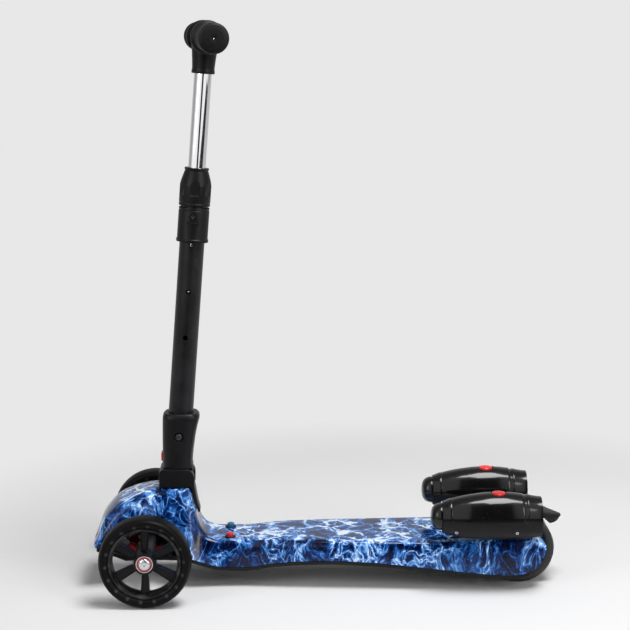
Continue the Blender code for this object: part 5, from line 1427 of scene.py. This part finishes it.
def jet_keel(x, y, inset=0.0):
    """The lower half of a jet's section, drawn in to a flat foot."""
    half, _, low = across_row(JET_ROWS, x)
    down = SPLIT_Z - low - inset
    shares = [step / 14 for step in range(15)]
    right = [((half - inset) * along(KEEL, share, 1), SPLIT_Z - down * share) for share in shares]
    line = right + [(-wide, z) for wide, z in reversed(right)]
    return [(x, y + wide, z) for wide, z in line]


def gloss_finish():
    """Gloss ABS: faint sink waves, hair scratches and settled dust."""
    made, place = start_finish(
        "gloss_black",
        {"IOR": 1.25, "Coat Weight": 0.8, "Coat Roughness": 0.07, "Coat IOR": 1.38},
    )
    cloud = place.noise(45.0, 3.0)
    wave = place.placed((0.6, 1.0, 1.0)).noise(34.0, 1.0)
    dust = place.noise(560.0, 1.0).between(0.7, 0.78)
    scratch = place.placed((60.0, 500.0, 500.0)).noise(1.0, 2.0, 0.6).between(0.72, 0.78)
    tone = cloud.blend((0.002, 0.002, 0.0024), (0.004, 0.004, 0.0046))
    worn = (dust * 0.1 + scratch * 0.05).blend(tone, (0.25, 0.25, 0.26))
    level = cloud * 0.05 + dust * 0.15 + 0.2
    return feed(made, worn, level, wave + scratch * 0.05, 0.00045, 0.3)


def jet_shell(rings):
    """An open half of a jet with its front end shut."""
    bm = bmesh.new()
    loops = []
    for ring in rings:
        verts = [bm.verts.new(point) for point in ring]
        loops.append((verts, [bm.edges.new(pair) for pair in zip(verts, verts[1:])]))
    for (_, first), (_, second) in zip(loops, loops[1:]):
        bmesh.ops.bridge_loops(bm, edges=first + second)
    bm.faces.new(loops[0][0])
    bmesh.ops.recalc_face_normals(bm, faces=bm.faces)
    return bm


def hollowed(made):
    """Gives an open skin its wall inwards."""
    step = made.modifiers.new("wall", "SOLIDIFY")
    step.thickness = JET_WALL
    step.offset = -1.0
    step.use_even_offset = True


GLOSS_BLACK = gloss_finish()
for side, word in ((-1, "left"), (1, "right")):
    y = side * JET_Y
    stops = sorted({*places(JET_ROWS, 0.003), *(x for x, _ in GROOVE), *(x for x, _ in BAND)})
    stops = [x for x, after in zip(stops, [*stops[1:], 1.0]) if after - x > 0.0001]
    cover = jet_shell([jet_arch(x, y, along(GROOVE if x > 0.45 else BAND, x, 1)) for x in stops])
    cover_made = solid(cover, f"jet_shell_{word}")
    hollowed(cover_made)
    spin_place = Matrix.Translation((CAP_X, y, 0))
    cut(cover_made, spun(bmesh.new(), rod(CAP_R + 0.0007, 0.15, 0.1175), spin_place, 64))
    soften(cover_made, 0.0003, 2, 40)
    fit(cover_made, GLOSS_BLACK, "black_gloss", "chassis", f"jet_cover_{word}")
    keels = [jet_keel(x, y) for x in places(JET_ROWS, 0.004)]
    cradle_made = solid(jet_shell(keels), f"jet_saddle_{word}")
    hollowed(cradle_made)
    soften(cradle_made, 0.0003, 2, 50)
    fit(cradle_made, BLACK_SATIN, "black_plastic", "chassis", f"jet_cradle_{word}")
    near, far = beside(side, 0.05, JET_Y)
    feet = block(bmesh.new(), (0.45, near, 0.0703), (0.505, far, 0.079), 0.0008)
    fit(solid(feet, f"jet_foot_{word}"), BLACK_SATIN, "black_plastic", "chassis")
    dome = [(0, 0.387), (0.018, 0.387), (0.0181, 0.384), (0.0166, 0.3796), (0.0148, 0.3769)]
    dome += [(0.012, 0.3747), (0.0085, 0.3734), (0.0044, 0.3727), (0, 0.3725)]
    lie = Matrix.Translation((0, y, DOME_Z)) @ Matrix.Rotation(math.pi / 2, 4, "Y")
    nose_made = turned(f"jet_dome_{word}", dome, lie, 72)
    soften(nose_made, 0.0006, 3, 25)
    fit(nose_made, GLOSS_BLACK, "black_gloss", "chassis", f"jet_nose_{word}")
    top = along(JET_ROWS, CAP_X, 2) + 0.0012
    knob = [(0, top - 0.0002), (0.003, top), (0.0062, top - 0.0002), (0.0086, top - 0.0009)]
    knob += [(CAP_R - 0.0002, top - 0.002), (CAP_R, 0.1288), (0.0075, 0.1286), (0, 0.1286)]
    cap_made = turned(f"filler_cap_{word}", knob, spin_place, 72, 0.0002)
    notches = bmesh.new()
    for index in range(CAP_NOTCHES):
        angle = 2 * math.pi * (index + 0.5) / CAP_NOTCHES
        notch = spin_place @ Matrix.Rotation(angle, 4, "Z") @ Matrix.Translation((CAP_R + 0.0006, 0, 0))
        spun(notches, rod(0.0013, 0.15, 0.13), notch, 20)
    block(notches, (-0.0052, -0.0008, top - 0.001), (0.0052, 0.0008, top + 0.002), 0.0003, spin_place)
    cut(cap_made, notches)
    soften(cap_made, 0.0003, 2, 40)
    fit(cap_made, RED_PLASTIC, "red_plastic", f"cap_{word}", f"jet_cap_{word}")
    outlet = bmesh.new()
    lie = Matrix.Translation((0, y, OUTLET_Z)) @ Matrix.Rotation(math.pi / 2, 4, "Y")
    inset = JET_WALL + 0.0004
    round_off = [*jet_arch(0.5175, y, inset), *jet_keel(0.5175, y, inset)[::-1][1:-1]]
    rim = [(y_, z) for _, y_, z in round_off]
    mouth = arc(y, OUTLET_Z, MOUTH_R, 2 * math.pi, len(rim))[:-1]
    edges = []
    for ring in (rim, mouth):
        verts = [outlet.verts.new((OUTLET_X, *point)) for point in ring]
        edges += [outlet.edges.new(pair) for pair in zip(verts, verts[1:] + verts[:1])]
    bmesh.ops.bridge_loops(outlet, edges=edges)
    dish = [(MOUTH_R, OUTLET_X), (0.0158, 0.515), (0.0152, 0.515), (0.014, 0.5125), (0.0133, 0.5125)]
    dish += [(0.0118, 0.5085), (0.011, 0.506), (0.0052, 0.506), (0.0046, 0.5072), (0.0031, 0.5072)]
    spun(outlet, [*dish, (0.003, 0.499), (0, 0.499)], lie, len(rim))
    for index in range(8):
        vane = lie @ Matrix.Rotation(2 * math.pi * index / 8, 4, "Z")
        block(outlet, (0.005, -0.0006, 0.5055), (0.0112, 0.0006, 0.5072), 0.0002, vane)
    outlet_made = solid(outlet, f"jet_outlet_{word}")
    soften(outlet_made, 0.0003, 2, 40)
    fit(outlet_made, GLOSS_BLACK, "black_gloss", "chassis", f"jet_nozzle_{word}")
    fixings = bmesh.new()
    for x in SCREW_X:
        for out in (-1, 1):
            down = (SPLIT_Z - SCREW_Z) / (SPLIT_Z - along(JET_ROWS, x, 3))
            reach = along(JET_ROWS, x, 1) * along(KEEL, down, 1)
            lean = Matrix.Rotation(-out * math.radians(104), 4, "X")
            lie = Matrix.Translation((x, y + out * (reach - 0.0004), SCREW_Z)) @ lean
            head = [(0, 0.0002), (0.0006, 0.0002), (0.001, 0.0011), (0.0019, 0.0008), (0.0024, 0.0)]
            spun(fixings, [*head, (0.0024, -0.001), (0, -0.001)], lie, 24)
    fit(solid(fixings, f"jet_screws_{word}"), BOLT_STEEL, "steel", "chassis")

# Electrics: battery pack in its wrap, circuit board, speaker and the two clear water tanks, all shut
# inside, and the battery door with its two screws under the tray.

DOOR_X = (0.205, 0.292)
DOOR_RIB_X = 0.234
DOOR_SCREWS = (0.2115, 0.2855)


def wrap_finish():
    """Shrink wrap over round cells: a row of soft swells and drawn-in creases."""
    made, place = start_finish("shrink_wrap", {"IOR": 1.5, "Coat Weight": 0.4, "Coat Roughness": 0.12})
    swell = abs((place.axis("X") * 170.0).sine())
    crease = place.placed((1.0, 3.0, 3.0)).noise(160.0, 3.0, 0.6, 1.0)
    colour = (crease * 0.6).blend((0.02, 0.045, 0.2), (0.045, 0.09, 0.3))
    return feed(made, colour, crease * 0.2 + 0.2, swell + crease * 0.4, 0.0006, 0.6)


def board_finish():
    """Solder resist over copper tracks, with tinned pads."""
    made, place = start_finish("green_board", {"IOR": 1.5, "Coat Weight": 0.3, "Coat Roughness": 0.1})
    tracks = place.cells(260.0, "DISTANCE_TO_EDGE").between(0.03, 0.06)
    pads = place.noise(700.0, 1.0).between(0.66, 0.7)
    resist = tracks.blend((0.03, 0.2, 0.075), (0.006, 0.085, 0.03))
    colour = pads.blend(resist, (0.62, 0.62, 0.6))
    return feed(made, colour, 0.5 - pads * 0.2, tracks + pads, 0.0001, 0.4)


def tank_finish():
    """Clear blown tank: flow waves and a line of scale from old water."""
    made, place = start_finish("clear_tank", {"IOR": 1.45, "Transmission Weight": 0.85})
    wave = place.noise(80.0, 2.0, 0.5, 0.6)
    scale = place.noise(240.0, 3.0, 0.6).between(0.55, 0.75)
    colour = (scale * 0.4).blend((0.86, 0.92, 0.95), (0.8, 0.78, 0.72))
    return feed(made, colour, scale * 0.3 + 0.08, wave, 0.0005, 0.4)


DOOR_BLACK = moulded("door_black", (0.006, 0.006, 0.0066), 0.48, 0.7)
fit(copied("battery_pack", "wrapped_pack", 0.0012, 3), wrap_finish(), "cell", "chassis", "battery_pack")
fit(copied("circuit_board", "driver_board", 0.0002), board_finish(), "board", "chassis", "circuit_board")
fit(copied("speaker", "small_speaker", 0.0004), RUBBER, "black_plastic", "chassis", "speaker")
TANK = tank_finish()
for word in ("left", "right"):
    node = f"steam_tank_{word}"
    fit(copied(node, f"water_tank_{word}", 0.0006), TANK, "clear_tank", "chassis", node)
door = block(bmesh.new(), (DOOR_X[0], -0.034, 0.0318), (DOOR_X[1], 0.034, 0.0348), 0.0008)
for index in range(5):
    x = DOOR_RIB_X + index * 0.007
    block(door, (x, -0.022, 0.0313), (x + 0.0022, 0.022, 0.032), 0.0003)
fit(solid(door, "battery_door"), DOOR_BLACK, "black_plastic", "chassis", "battery_cover")
door_screws = bmesh.new()
for x in DOOR_SCREWS:
    head = [(0, 0.0316), (0.0007, 0.0316), (0.0011, 0.0309), (0.0021, 0.031), (0.0025, 0.0317)]
    spun(door_screws, [*head, (0.0025, 0.0325), (0, 0.0325)], Matrix.Translation((x, 0, 0)), 24)
fit(solid(door_screws, "door_screws"), STEEL, "steel", "chassis")
